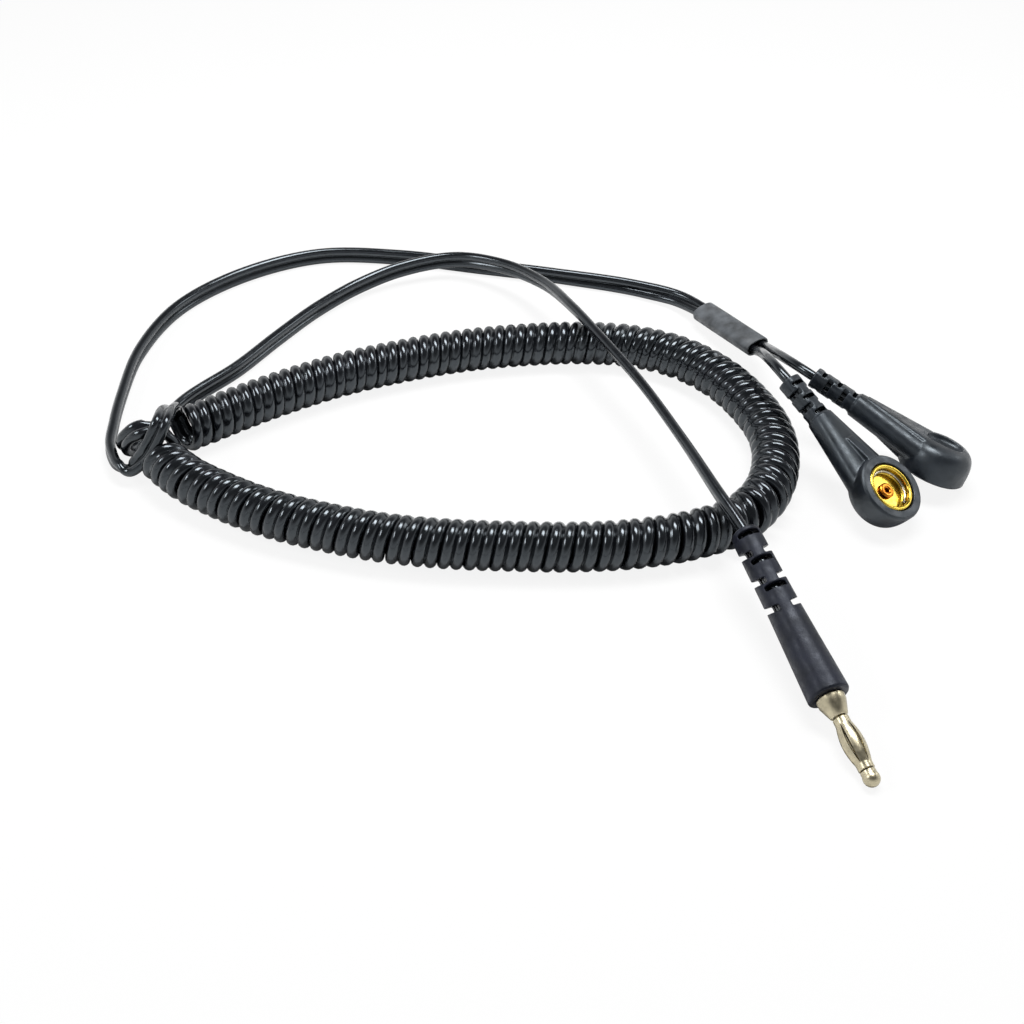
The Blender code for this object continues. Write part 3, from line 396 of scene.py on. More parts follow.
def oval(power, count=OVAL_POINTS):
    """Points of a superellipse of half width 1 in the XY plane."""
    angle = (np.arange(count) + 0.5) * math.tau / count
    along = np.abs(np.cos(angle)) ** (2 / power) * np.sign(np.cos(angle))
    across = np.abs(np.sin(angle)) ** (2 / power) * np.sign(np.sin(angle))
    return np.stack((along, across, 0 * angle), axis=-1)


def oval_rings(sections, power):
    """Superellipses of (height, half x, half y) rows stacked along Z."""
    sections = np.asarray(sections, float)
    rings = oval(power)[None] * sections[:, None, [1, 2, 0]]
    rings[:, :, 2] = sections[:, 0, None]
    return rings


def slot_rings(axis, low, high, half_width, half_height, height, slant=0.0):
    """A rounded slot that runs from low to high along X (axis 0) or Y (axis 1).

    Its section is a superellipse at the given height, sheared by the slant.
    """
    outline = oval(SLOT_POWER, SLOT_POINTS) * (half_width, half_height, 0.0)
    rings = np.zeros((2, len(outline), 3))
    rings[:, :, axis] = np.array((low, high))[:, None]
    rings[:, :, 1 - axis] = outline[:, 0]
    rings[:, :, 2] = outline[:, 1] + outline[:, 0] * math.tan(slant) + height
    return rings


def relief_slots(sizes, count, span, web, reach, slant=0.0):
    """Cuts along a relief, by turns a slit through its middle and a pair of notches from its sides."""
    cuts = []
    for index in range(count):
        height = sizes.slot_first + index * sizes.slot_pitch
        if index % 2 == 0:
            cuts.append(slot_rings(0, -reach, reach, span / 2, sizes.slot / 2, height))
            continue
        for low, high in ((web / 2, reach), (-reach, -web / 2)):
            cuts.append(slot_rings(1, low, high, reach, sizes.notch / 2, height, slant))
    return cuts


def tube_rings(path, radius, sides):
    """A round section carried along a path, its side kept level."""
    forward = unit(np.gradient(path, axis=0))
    side = unit(np.cross(forward, UP))
    lift = np.cross(side, forward)
    angle = np.arange(sides) * math.tau / sides
    ring = np.cos(angle)[None, :, None] * side[:, None] + np.sin(angle)[None, :, None] * lift[:, None]
    return path[:, None] + np.reshape(radius, (-1, 1, 1)) * ring


def length(name, description, millimetres):
    """A length property, its default given in millimetres."""
    return bpy.props.FloatProperty(
        name=name, description=description, default=millimetres * MM, unit="LENGTH", precision=5
    )


def degrees(name, description, value):
    """An angle property, its default given in degrees."""
    return bpy.props.FloatProperty(
        name=name, description=description, default=math.radians(value), subtype="ANGLE"
    )


def colour(name, description, default):
    """A colour property in linear light."""
    return bpy.props.FloatVectorProperty(
        name=name, description=description, default=default, subtype="COLOR", size=3, min=0.0, max=1.0
    )


class CordSizes(bpy.types.PropertyGroup):
    """Sizes of the cord and its sleeve."""

    wire: length("Wire", "Jacket diameter of one wire", 2.2)
    spacing: length("Spacing", "Distance between the two wires' middles", 2.12)
    web: length("Web", "Thickness of the web between the wires", 0.9)
    coil_outer: length("Curl diameter", "Outer diameter of the curls", 10.0)
    coil_gap: length("Curl gap", "Gap between neighbouring curls", 0.6)
    open_pitch: length("Open pitch", "Pitch of the first, pulled-out curls", 14.0)
    open_length: length("Open length", "Length of the pulled-out curls", 8.0)
    open_fade: length("Open fade", "Length over which the curls close up", 9.0)
    loose_swell: length("Loose swell", "Extra radius of the first curl", 0.8)
    loose_length: length("Loose length", "Length over which the extra radius fades", 15.0)
    sleeve_length: length("Sleeve", "Length of the sleeve over the split", 23.0)
    sleeve_wall: length("Sleeve wall", "Wall of the sleeve", 0.45)
    clearance: length("Clearance", "Gap between neighbouring parts", 0.3)


class SnapSizes(bpy.types.PropertyGroup):
    """Sizes of a snap connector."""

    reach: length("Reach", "Relief's end to the socket's middle", 31.6)
    cant: degrees("Cant", "Slope of the neck to the socket face", 8.0)
    neck_depth: length("Neck depth", "Neck's middle below the socket face", 3.4)
    relief_length: length("Relief length", "Length of the slotted relief", 10.5)
    relief_width: length("Relief width", "Width of the slotted relief", 4.6)
    relief_thick: length("Relief thickness", "Thickness of the slotted relief", 4.4)
    slot: length("Slot", "Width of a relief slot", 0.95)
    notch: length("Notch", "Width of a side notch", 1.15)
    slot_pitch: length("Slot pitch", "Spacing of the relief slots", 1.95)
    slot_first: length("First slot", "First slot from the relief's end", 1.9)
    slot_span: length("Slot span", "Span of a relief slot", 3.5)
    slot_web: length("Slot web", "Web left between the side notches", 2.2)
    neck_width: length("Neck width", "Width of the neck at the relief", 5.4)
    neck_thick: length("Neck thickness", "Thickness of the neck at the relief", 5.4)
    root_width: length("Root width", "Width of the neck in the head", 12.4)
    root_thick: length("Root thickness", "Thickness of the neck in the head", 6.6)
    neck_root: length("Neck root", "Neck's end before the head's middle", 4.0)
    head: length("Head", "Diameter of the head", 15.0)
    head_depth: length("Head depth", "Face to the back of the head", 7.6)
    edge: length("Edge", "Small edge breaks", 0.35)
    recess_length: length("Recess length", "Length of the finger recess", 8.2)
    recess_width: length("Recess width", "Width of the finger recess", 6.0)
    recess_depth: length("Recess depth", "Depth of the finger recess", 1.4)
    gusset_reach: length("Gusset reach", "Gusset's end from the head's middle", 13.5)
    gusset_width: length("Gusset width", "Width of the gusset at the head", 2.4)
    gusset_tip: length("Gusset tip", "Width of the gusset at its end", 1.9)
    cup_outer: length("Cup", "Outer diameter of the socket cup", 10.8)
    cup_bore: length("Cup bore", "Bore of the socket cup", 8.8)
    cup_depth: length("Cup depth", "Depth of the socket cup", 2.2)
    cup_floor: length("Cup floor", "Floor of the socket cup", 0.5)
    cup_set_back: length("Cup set back", "Cup's rim below the face", 0.1)
    cup_lip: length("Cup lip", "Lip over the ring spring", 0.6)
    ring_wire: length("Ring wire", "Wire of the ring spring", 0.7)
    ring_outer: length("Ring", "Outer diameter of the ring spring", 9.1)
    ring_split: degrees("Ring split", "Open angle of the ring spring", 38.0)
    eyelet_outer: length("Eyelet", "Shaft of the eyelet", 2.1)
    eyelet_bore: length("Eyelet bore", "Bore of the eyelet", 1.1)
    eyelet_flange: length("Eyelet flange", "Flange of the eyelet", 3.4)
    eyelet_thick: length("Flange thickness", "Thickness of the eyelet's flange", 0.4)
    lug: length("Lug", "Diameter of the lug under the cup", 7.0)
    lug_thick: length("Lug thickness", "Thickness of the lug", 0.5)


class PlugSizes(bpy.types.PropertyGroup):
    """Sizes of the banana plug."""

    relief_length: length("Relief length", "Length of the slotted relief", 18.5)
    relief_width: length("Relief width", "Width of the slotted relief", 5.8)
    relief_height: length("Relief height", "Height of the slotted relief", 7.0)
    slot: length("Slit", "Width of a top slit", 1.2)
    notch: length("Notch", "Width of a side notch", 1.3)
    slant: degrees("Slant", "Lean of the side notches", 24.0)
    slot_pitch: length("Slot pitch", "Spacing of the relief slots", 3.1)
    slot_first: length("First slot", "First slot from the relief's end", 1.6)
    slit_span: length("Slit span", "Span of a top slit", 4.2)
    web: length("Web", "Web left between the side notches", 2.3)
    handle_length: length("Handle length", "Length of the handle", 18.5)
    handle_rear: length("Handle rear", "Width of the handle at the relief", 6.5)
    handle_front: length("Handle front", "Diameter of the handle at the pin", 7.9)
    handle_round: length("Handle round", "Round of the handle's front edge", 0.5)
    insert: length("Insert", "Twin inside the plug", 19.7)
    crimp_length: length("Crimp length", "Length of the conductor crimp", 5.8)
    shank: length("Shank", "Diameter of the core in the handle", 4.2)
    collar: length("Collar", "Diameter of the core's collar", 5.4)
    collar_length: length("Collar length", "Length of the collar", 1.3)
    cone_length: length("Cone length", "Length of the cone after the collar", 2.5)
    neck: length("Neck", "Diameter at the cone's end", 2.9)
    mandrel: length("Mandrel", "Diameter of the core in the lantern", 1.7)
    lantern_length: length("Lantern length", "Length of the lantern spring", 10.2)
    lantern_band: length("Lantern band", "Length of the bands at the lantern's ends", 1.3)
    lantern_bulge: length("Lantern bulge", "Widest diameter of the lantern", 4.2)
    lantern_wall: length("Lantern wall", "Sheet thickness of the lantern", 0.35)
    lantern_leaves: bpy.props.IntProperty(
        name="Leaves", description="Leaves of the lantern", default=6, min=3
    )
    tip_collar: length("Tip collar", "Diameter of the collar behind the tip", 2.8)
    tip_length: length("Tip collar length", "Length of the collar behind the tip", 0.6)
    tip_ball: length("Tip ball", "Diameter of the ball tip", 3.1)


class Finishes(bpy.types.PropertyGroup):
    """Colours of the materials."""

    jacket: colour("Jacket", "Glossy black jacket", (0.004, 0.0045, 0.006))
    shell: colour("Shell", "Satin black of the snaps", (0.005, 0.007, 0.011))
    handle: colour("Handle", "Matte black of the plug", (0.006, 0.007, 0.014))
    sleeve: colour("Sleeve", "Matte grey sleeve", (0.075, 0.083, 0.092))
    brass: colour("Brass", "Yellow brass of the socket", (0.72, 0.52, 0.08))
    copper: colour("Copper", "Red copper of the eyelet", (0.72, 0.26, 0.03))
    nickel: colour("Nickel", "Warm nickel of the plug's pin", (0.50, 0.45, 0.32))
    steel: colour("Steel", "Spring steel", (0.50, 0.46, 0.36))


class StageSettings(bpy.types.PropertyGroup):
    """Camera and light."""

    lens: bpy.props.FloatProperty(name="Lens", description="Focal length in millimetres", default=44.98)
    distance: length("Distance", "Camera to the middle of the view", 271.9)
    elevation: degrees("Elevation", "Camera's height angle", 42.0)
    fill: bpy.props.FloatProperty(name="Fill", description="Strength of the surround", default=0.15)
    ceiling: bpy.props.FloatProperty(
        name="Ceiling", description="Strength of the surround overhead as mirrors show it", default=0.14
    )
    horizon: bpy.props.FloatVectorProperty(
        name="Horizon", description="Heights between which the white surround turns to the ceiling", size=2,
        default=(0.15, 0.7),
    )
    key: bpy.props.FloatProperty(
        name="Key", description="Power of the overhead lamp", default=2.0, unit="POWER"
    )


def node(tree, kind, inputs, **settings):
    """A node with its settings; inputs pairs a socket with a value or with another node's output."""
    made = tree.nodes.new(kind)
    for key, value in settings.items():
        setattr(made, key, value)
    for socket, value in inputs.items():
        if isinstance(value, bpy.types.NodeSocket):
            tree.links.new(value, made.inputs[socket])
        else:
            made.inputs[socket].default_value = value
    return made


def finish(name, tint, roughness, mottle, grains, metallic=0.0, **sockets):
    """A Principled material whose tint and roughness wander with soft noise, under layers of fine bumps.

    The tint goes from its dark to its light value and the roughness between its two values, both with noise
    of the mottle scale. Each grain is a noise scale, a height and a share of strength.
    """
    material = bpy.data.materials.new(name)
    material.use_nodes = True
    tree = material.node_tree
    shader = tree.nodes["Principled BSDF"]
    place = tree.nodes.new("ShaderNodeTexCoord").outputs["Object"]
    cloud = node(tree, "ShaderNodeTexNoise", {"Vector": place, "Scale": mottle, "Detail": CLOUD_DETAIL})
    ramp = node(tree, "ShaderNodeValToRGB", {"Fac": cloud.outputs["Fac"]})
    for stop, position, value in zip(ramp.color_ramp.elements, TINT_STOPS, tint):
        stop.position = position
        stop.color = (*value, 1.0)
    tree.links.new(ramp.outputs["Color"], shader.inputs["Base Color"])
    smear = node(tree, "ShaderNodeTexNoise", {
        "Vector": place, "Scale": mottle * SMEAR_SCALE, "Detail": SMEAR_DETAIL,
    })
    rough = node(tree, "ShaderNodeMapRange", {
        "Value": smear.outputs["Fac"], "From Min": SMEAR_RANGE[0], "From Max": SMEAR_RANGE[1],
        "To Min": roughness[0], "To Max": roughness[1],
    })
    tree.links.new(rough.outputs["Result"], shader.inputs["Roughness"])
    normal = None
    for scale, height, strength in grains:
        fine = node(tree, "ShaderNodeTexNoise", {"Vector": place, "Scale": scale, "Detail": GRAIN_DETAIL})
        bump = node(tree, "ShaderNodeBump", {
            "Height": fine.outputs["Fac"], "Distance": height, "Strength": strength,
        })
        if normal:
            tree.links.new(normal, bump.inputs["Normal"])
        normal = bump.outputs["Normal"]
    if normal:
        tree.links.new(normal, shader.inputs["Normal"])
    shader.inputs["Metallic"].default_value = metallic
    for socket, value in sockets.items():
        shader.inputs[socket.replace("_", " ")].default_value = value
    return material


def shades(base, dark, light):
    """A darker and a lighter value of a colour."""
    base = np.array(base)
    return tuple(np.clip(base * dark, 0, 1)), tuple(np.clip(base * light, 0, 1))


MATERIAL_NAMES = {
    "jacket": "glossy_jacket", "shell": "satin_shell", "handle": "matte_handle", "sleeve": "grey_sleeve",
    "brass": "yellow_brass", "copper": "red_copper", "nickel": "warm_nickel", "steel": "spring_steel",
    "tin": "tinned_metal", "resistor": "resistor_paint",
}


def materials():
    """All finishes by name, made once."""
    if "glossy_jacket" in bpy.data.materials:
        return {key: bpy.data.materials[value] for key, value in MATERIAL_NAMES.items()}
    tones = bpy.context.scene.ground_cord_finishes
    finish(
        "glossy_jacket", tint=shades(tones.jacket, 0.75, 1.5), roughness=(0.13, 0.24), mottle=260.0,
        grains=[(1400.0, 0.02 * MM, 0.12)], Specular_IOR_Level=0.75, Specular_Tint=COOL_SHINE,
    )
    finish(
        "satin_shell", tint=shades(tones.shell, 0.5, 1.6), roughness=(0.28, 0.5), mottle=190.0,
        grains=[(700.0, 0.09 * MM, 0.35), (5200.0, 0.03 * MM, 0.35)],
        Specular_IOR_Level=0.7, Specular_Tint=COOL_SHINE,
    )
    finish(
        "matte_handle", tint=shades(tones.handle, 0.5, 1.4), roughness=(0.36, 0.58), mottle=240.0,
        grains=[(900.0, 0.08 * MM, 0.3), (4200.0, 0.05 * MM, 0.5)],
        Specular_IOR_Level=0.36, Specular_Tint=BLUE_SHINE,
    )
    finish(
        "grey_sleeve", tint=shades(tones.sleeve, 0.5, 1.6), roughness=(0.4, 0.6), mottle=300.0,
        grains=[(3000.0, 0.03 * MM, 0.4)],
    )
    finish(
        "yellow_brass", tint=shades(tones.brass, 0.75, 1.1), roughness=(0.18, 0.32), mottle=500.0,
        grains=[(2600.0, 0.01 * MM, 0.3)], metallic=1.0,
    )
    finish(
        "red_copper", tint=shades(tones.copper, 0.8, 1.15), roughness=(0.2, 0.32), mottle=700.0,
        grains=[(2600.0, 0.01 * MM, 0.3)], metallic=1.0,
    )
    finish(
        "warm_nickel", tint=shades(tones.nickel, 0.8, 1.15), roughness=(0.28, 0.42), mottle=600.0,
        grains=[(2400.0, 0.01 * MM, 0.15)], metallic=1.0,
    )
    finish(
        "spring_steel", tint=shades(tones.steel, 0.85, 1.12), roughness=(0.2, 0.34), mottle=600.0,
        grains=[(2400.0, 0.015 * MM, 0.35)], metallic=1.0,
    )
    finish(
        "tinned_metal", tint=((0.55, 0.55, 0.53), (0.7, 0.7, 0.68)), roughness=(0.28, 0.4), mottle=500.0,
        grains=[(1800.0, 0.02 * MM, 0.3)], metallic=1.0,
    )
    finish(
        "resistor_paint", tint=((0.19, 0.31, 0.42), (0.25, 0.39, 0.52)), roughness=(0.35, 0.5),
        mottle=400.0, grains=[(1500.0, 0.02 * MM, 0.3)],
    )
    return materials()


def twin_rings(path, broad, wire, spacing, web):
    """The twin carried along a path: two circles side by side, bridged by a web."""
    forward = unit(np.gradient(path, axis=0))
    broad = unit(broad - np.sum(broad * forward, axis=1, keepdims=True) * forward)
    thick = np.cross(broad, forward)
    lean = math.asin(web / wire.min())
    turn = np.linspace(lean - math.pi, math.pi - lean, LOBE_POINTS)
    across = spacing[:, None] / 2 + wire[:, None] / 2 * np.cos(turn)
    through = wire[:, None] / 2 * np.sin(turn)
    middle = np.zeros((len(path), 1))
    across = np.concatenate((across, middle, -across, middle), axis=1)
    through = np.concatenate((through, middle + web / 2, -through, middle - web / 2), axis=1)
    return path[:, None] + across[:, :, None] * broad[:, None] + through[:, :, None] * thick[:, None]


def closed_pitch(sizes):
    """The length along the axis that one closed curl takes."""
    return 2 * sizes.wire + sizes.coil_gap


def coil_line(sizes):
    """The helix through the curls, with its broad and onward directions.

    The axis is a smooth curve on the table. The curl angle grows with the length over the pitch. The pitch
    starts open and closes up, and where the axis bends left the curls spread on the outer side.
    """
    radius = (sizes.coil_outer - sizes.wire) / 2
    axis = smooth_curve(lay(np.c_[np.array(COIL_AXIS), np.zeros(len(COIL_AXIS))]), AXIS_FINE)
    steps = np.linalg.norm(np.diff(axis, axis=0), axis=1)
    s = np.concatenate(((0.0,), np.cumsum(steps)))
    tangent = unit(np.gradient(axis, s, axis=0))
    heading = np.unwrap(np.arctan2(tangent[:, 1], tangent[:, 0]))
    window = AXIS_FINE + 1
    curving = np.pad(np.gradient(heading, s), window // 2, mode="edge")
    curving = np.convolve(curving, np.ones(window) / window, "valid")
    fade = np.clip((s - sizes.open_length) / sizes.open_fade, 0, 1)
    pitch = sizes.open_pitch + (closed_pitch(sizes) - sizes.open_pitch) * (3 * fade**2 - 2 * fade**3)
    rate = (1 - radius * np.clip(curving, 0, None)) / pitch
    turns = np.concatenate(((0.0,), np.cumsum((rate[1:] + rate[:-1]) / 2 * steps)))
    eighth = 1 / 8
    whole = math.floor(turns[-1] - eighth) + eighth
    count = round(whole * CURL_RINGS)
    order = np.arange(count + 1) / count
    at = np.interp(order * turns[-1], turns, s)
    angle = -math.pi / 2 - order * math.tau * whole
    swell = radius + sizes.loose_swell * np.clip(1 - at / sizes.loose_length, 0, 1)
    centre = np.stack([np.interp(at, s, axis[:, column]) for column in range(3)], axis=-1)
    centre[:, 2] = swell + sizes.wire / 2
    along = unit(np.stack([np.interp(at, s, tangent[:, column]) for column in range(3)], axis=-1))
    side = np.cross(UP, along)
    out = np.cos(angle)[:, None] * side + np.sin(angle)[:, None] * UP
    onward = np.sin(angle)[:, None] * side - np.cos(angle)[:, None] * UP
    return centre + swell[:, None] * out, along, onward


def twin_tail(rows, wire, spacing):
    """A smooth path and its broad sides through rows of points and directions, kept on the table."""
    rows = np.array(rows)
    curve = smooth_curve(rows[:, :3], TAIL_SAMPLES)
    at = np.linspace(0, len(rows) - 1, len(curve))
    hint = np.stack([np.interp(at, np.arange(len(rows)), rows[:, 3 + k]) for k in range(3)], axis=-1)
    forward = unit(np.gradient(curve, axis=0))
    broad = unit(hint - np.sum(hint * forward, axis=1, keepdims=True) * forward)
    curve[:, 2] = np.maximum(curve[:, 2], wire / 2 + spacing / 2 * np.abs(broad[:, 2]))
    return curve, broad


def laid_rows(rows):
    """Rows of a tail with their points laid about the middle of the outline."""
    return [(*lay(row[:3]), *row[3:]) for row in rows]


def sleeve_axes():
    """The sleeve's frame: Z along it from its rear end, X along the twin's broad side."""
    return axes(lay(SLEEVE_REAR), SLEEVE_BROAD, SLEEVE_HEADING)


def plug_axes():
    """The plug's frame: Z from the relief's end to the tip, X up."""
    return axes(lay(PLUG_REAR), PLUG_UP, PLUG_HEADING)


def snap_axes(label, sizes):
    """The head's frame, Z out of the socket and X to the tip, and the neck's frame, Z to the head."""
    face, facing, tip = SNAP_PLACES[label]
    head = axes(lay(face), tip, facing)
    along = np.array((math.cos(sizes.cant), 0.0, math.sin(sizes.cant)))
    back = np.array((math.sin(sizes.cant), 0.0, -math.cos(sizes.cant)))
    begin = np.array((0.0, 0.0, -sizes.neck_depth)) - along * sizes.reach
    return head, head @ axes(begin, back, along)


def twin_path(cord, plug_sizes):
    """The twin's whole path and broad sides: plug, plug tail, curls, snap tail, sleeve."""
    path, along, onward = coil_line(cord)
    plug = plug_axes()
    leave = path[0] - onward[0] * (cord.wire + cord.clearance)
    rows = [(*leave, *along[0]), (*(leave - onward[0] * cord.wire), *along[0])]
    rows += laid_rows(PLUG_TAIL)
    rows += [(*plug[:3, 3], *plug[:3, 0]), (*put(plug, np.array((0, 0, plug_sizes.insert))), *plug[:3, 0])]
    plug_tail, plug_broad = twin_tail(rows, cord.wire, cord.spacing)
    sleeve = sleeve_axes()
    leave = path[-1] + onward[-1] * (cord.wire + cord.clearance)
    rows = [(*leave, *along[-1]), (*(leave + onward[-1] * cord.wire / 2), *along[-1])]
    rows += laid_rows(SNAP_TAIL)
    inside = put(sleeve, np.array((0, 0, cord.sleeve_length / 2 - cord.clearance)))
    rows += [(*sleeve[:3, 3], *sleeve[:3, 0]), (*inside, *sleeve[:3, 0])]
    snap_tail, snap_broad = twin_tail(rows, cord.wire, cord.spacing)
    # In the curls the wires spread to half the distance from one turn to the next, and swell with it
    turn = np.linalg.norm(path[CURL_RINGS:] - path[:-CURL_RINGS], axis=1)
    turn = np.concatenate((turn[: CURL_RINGS // 2], turn, turn[-CURL_RINGS // 2 :]))
    inside = np.minimum(np.arange(len(path)), np.arange(len(path))[::-1]) / CURL_RINGS
    share = np.clip(np.minimum(inside, SPREAD_END - turn / closed_pitch(cord)), 0, 1)
    spread = cord.spacing + (turn / 2 - cord.spacing) * share
    spacing = np.concatenate((
        np.full(len(plug_tail), cord.spacing), spread, np.full(len(snap_tail), cord.spacing),
    ))
    wire = cord.wire * np.clip(spacing / cord.spacing, 1.0, SWELL_LIMIT)
    return (
        np.concatenate((plug_tail[::-1], path, snap_tail)),
        np.concatenate((plug_broad[::-1], along, snap_broad)),
        wire,
        spacing,
    )


class GROUNDCORD_OT_twin(bpy.types.Operator):
    """Lays the twin in one run from the plug through the curls to the sleeve"""

    bl_idname = "ground_cord.twin"
    bl_label = "Twin Cord"

    def execute(self, context):
        cord = context.scene.ground_cord_sizes
        path, broad, wire, spacing = twin_path(cord, context.scene.ground_cord_plug)
        rings = twin_rings(path, broad, wire, spacing, cord.web)
        # The swollen undersides rest flat on the table
        rings[:, :, 2] = np.maximum(rings[:, :, 2], 0.0)
        obj = piece("twin_cord", [(rings, False)], materials()["jacket"])
        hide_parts("coil", "plug_tail", "snap_tail")
        plug_axes()[:3, 3]
        return {"FINISHED"}


class GROUNDCORD_OT_sleeve(bpy.types.Operator):
    """Slips the oval sleeve over the place where the twin splits"""

    bl_idname = "ground_cord.sleeve"
    bl_label = "Split Sleeve"

    def execute(self, context):
        cord = context.scene.ground_cord_sizes
        bore_x = cord.wire + SLEEVE_SLACK * cord.clearance
        bore_y = cord.wire / 2 + cord.clearance
        wall = cord.sleeve_wall
        lip = wall / 3
        end = cord.sleeve_length
        waves = [(end * along, wall * share) for along, share in SLEEVE_WAVES]
        sections = [
            (0, lip), (0, wall - lip), (lip / 3, wall - lip / 3), (lip, wall), *waves, (end - lip, wall),
            (end - lip / 3, wall - lip / 3), (end, wall - lip), (end, lip), (end - lip, 0), (lip, 0),
        ]
        rings = oval_rings([(at, bore_x + out, bore_y + out) for at, out in sections], SLEEVE_POWER)
        obj = piece("sleeve", [(put(sleeve_axes(), rings), True)], materials()["sleeve"])
        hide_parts("split_sleeve")
        return {"FINISHED"}


class GROUNDCORD_OT_leads(bpy.types.Operator):
    """Lays the two single leads from the sleeve into the snaps"""

    bl_idname = "ground_cord.leads"
    bl_label = "Single Leads"

    def execute(self, context):
        cord = context.scene.ground_cord_sizes
        snap = context.scene.ground_cord_snap
        sleeve = sleeve_axes()
        for label, side in LEAD_SIDE.items():
            across = side * (cord.wire + cord.clearance) / 2
            _, neck = snap_axes(label, snap)
            leave = put(sleeve, np.array((across, 0, cord.sleeve_length)))
            enter = neck[:3, 3]
            span = np.linalg.norm(enter - leave)
            begin = put(sleeve, np.array((across, 0, cord.sleeve_length / 2 + cord.clearance)))
            deep = put(neck, np.array((0, 0, snap.relief_length - cord.clearance)))
            ahead = leave + LEAD_LEAVE * span * sleeve[:3, 2]
            free = bend(leave, ahead, enter - LEAD_ARRIVE * span * neck[:3, 2], enter)
            path = np.concatenate((
                np.linspace(begin, leave, LEAD_SAMPLES)[:-1],
                free,
                np.linspace(enter, deep, LEAD_SAMPLES)[1:],
            ))
            rings = tube_rings(path, cord.wire / 2, LEAD_SIDES)
            obj = piece(f"{label}_wire", [(rings, False)], materials()["jacket"])
            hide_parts(f"{label}_lead")
        return {"FINISHED"}


def head_rings(sizes):
    """A flat round face with a small edge, whose back is a superellipse dome."""
    radius = sizes.head / 2
    turn = np.linspace(DOME_FROM, DOME_TO, DOME_STEPS)
    dome = radius * np.cos(turn) ** (2 / HEAD_POWER)
    depth = -sizes.head_depth * np.sin(turn) ** (2 / HEAD_POWER)
    size = np.concatenate(((radius - sizes.edge, radius), dome))
    height = np.concatenate(((-FACE_SKIN, -sizes.edge), depth))
    return turned(np.stack((size, height), axis=-1))


def neck_rows(sizes):
    """Stations of the neck: heights along it, half thickness and half width, both straight tapers."""
    share = np.linspace(0, 1, NECK_STATIONS)
    begin = sizes.relief_length + sizes.edge
    at = begin + (sizes.reach - sizes.neck_root - begin) * share
    thick = sizes.neck_thick + (sizes.root_thick - sizes.neck_thick) * share
    wide = sizes.neck_width + (sizes.root_width - sizes.neck_width) * share
    return np.stack((at, thick / 2, wide / 2), axis=-1)


def neck_rings(sizes):
    """A neck of rounded square sections that widens from the relief to its root in the head."""
    rows = neck_rows(sizes)
    first = (sizes.relief_length, rows[0, 1] * NECK_LEAD_IN, rows[0, 2] * NECK_LEAD_IN)
    return oval_rings(np.concatenate(((first,), rows)), NECK_POWER)


def plate_rings(sizes):
    """A low flat ridge along the neck's back, set in from its sides."""
    rows = neck_rows(sizes)[2:] + (0.0, RIDGE_RISE, -RIDGE_INSET)
    rings = oval_rings(rows, RIDGE_POWER)
    rings[:, :, 0] = np.maximum(rings[:, :, 0], 0.0)
    return rings


def gusset_rings(sizes):
    """A rib from the socket face down to the neck, narrowing away from the head."""
    slope = math.tan(sizes.cant)
    far = -sizes.gusset_reach
    share = (sizes.gusset_reach - sizes.neck_root) / (sizes.reach - sizes.relief_length - sizes.neck_root)
    neck_thick = sizes.root_thick + (sizes.neck_thick - sizes.root_thick) * share
    neck_top = neck_thick / 2 / math.cos(sizes.cant) - sizes.neck_depth + far * slope
    rows = (
        (-(sizes.head + sizes.cup_outer) / 4, -GUSSET_DROP, sizes.gusset_width / 2),
        (-sizes.head / 2, -GUSSET_DROP, sizes.gusset_width / 2),
        (far, neck_top + GUSSET_RISE, sizes.gusset_tip / 2),
        (far - 2 * GUSSET_RISE, neck_top - GUSSET_RISE, sizes.gusset_tip / 2),
    )
    rings = []
    for x, top, half in rows:
        low = -sizes.neck_depth + x * slope
        rings.append(((x, -half, top), (x, half, top), (x, half, low), (x, -half, low)))
    return np.array(rings)


def cup_levels(sizes, gap):
    """Heights in the head's frame: the cup's rim, floor and underside, then the lug's two sides."""
    rim = -sizes.cup_set_back
    floor = rim - sizes.cup_depth
    under = floor - sizes.cup_floor
    lug_top = under - gap
    return rim, floor, under, lug_top, lug_top - sizes.lug_thick


def pocket_rings(sizes, gap):
    """The stepped hole in the head that takes the cup, the lug and the eyelet's lower flange."""
    _, _, under, _, lug_under = cup_levels(sizes, gap)
    cup = sizes.cup_outer / 2 + gap
    lug = sizes.lug / 2 + gap
    flange = sizes.eyelet_flange / 2 + gap
    bottom = lug_under - 2 * gap - sizes.eyelet_thick
    return turned((
        (cup, sizes.edge), (cup, under - gap / 2), (lug, under - gap / 2), (lug, lug_under - gap),
        (flange, lug_under - gap), (flange, bottom),
    ))


def recess_rings(sizes):
    """An oval dish in the head's back, whose sides close in slowly and then fast towards its bottom."""
    share = np.linspace(0, 1, RECESS_STEPS)
    depth = sizes.recess_depth * ((1 + RECESS_ABOVE) * share - RECESS_ABOVE)
    size = np.sqrt(1 - RECESS_CLOSE * share**RECESS_STEEP)
    rows = np.stack((depth, sizes.recess_length / 2 * size, sizes.recess_width / 2 * size), axis=-1)
    return oval_rings(rows - (sizes.head_depth, 0.0, 0.0), RECESS_POWER)


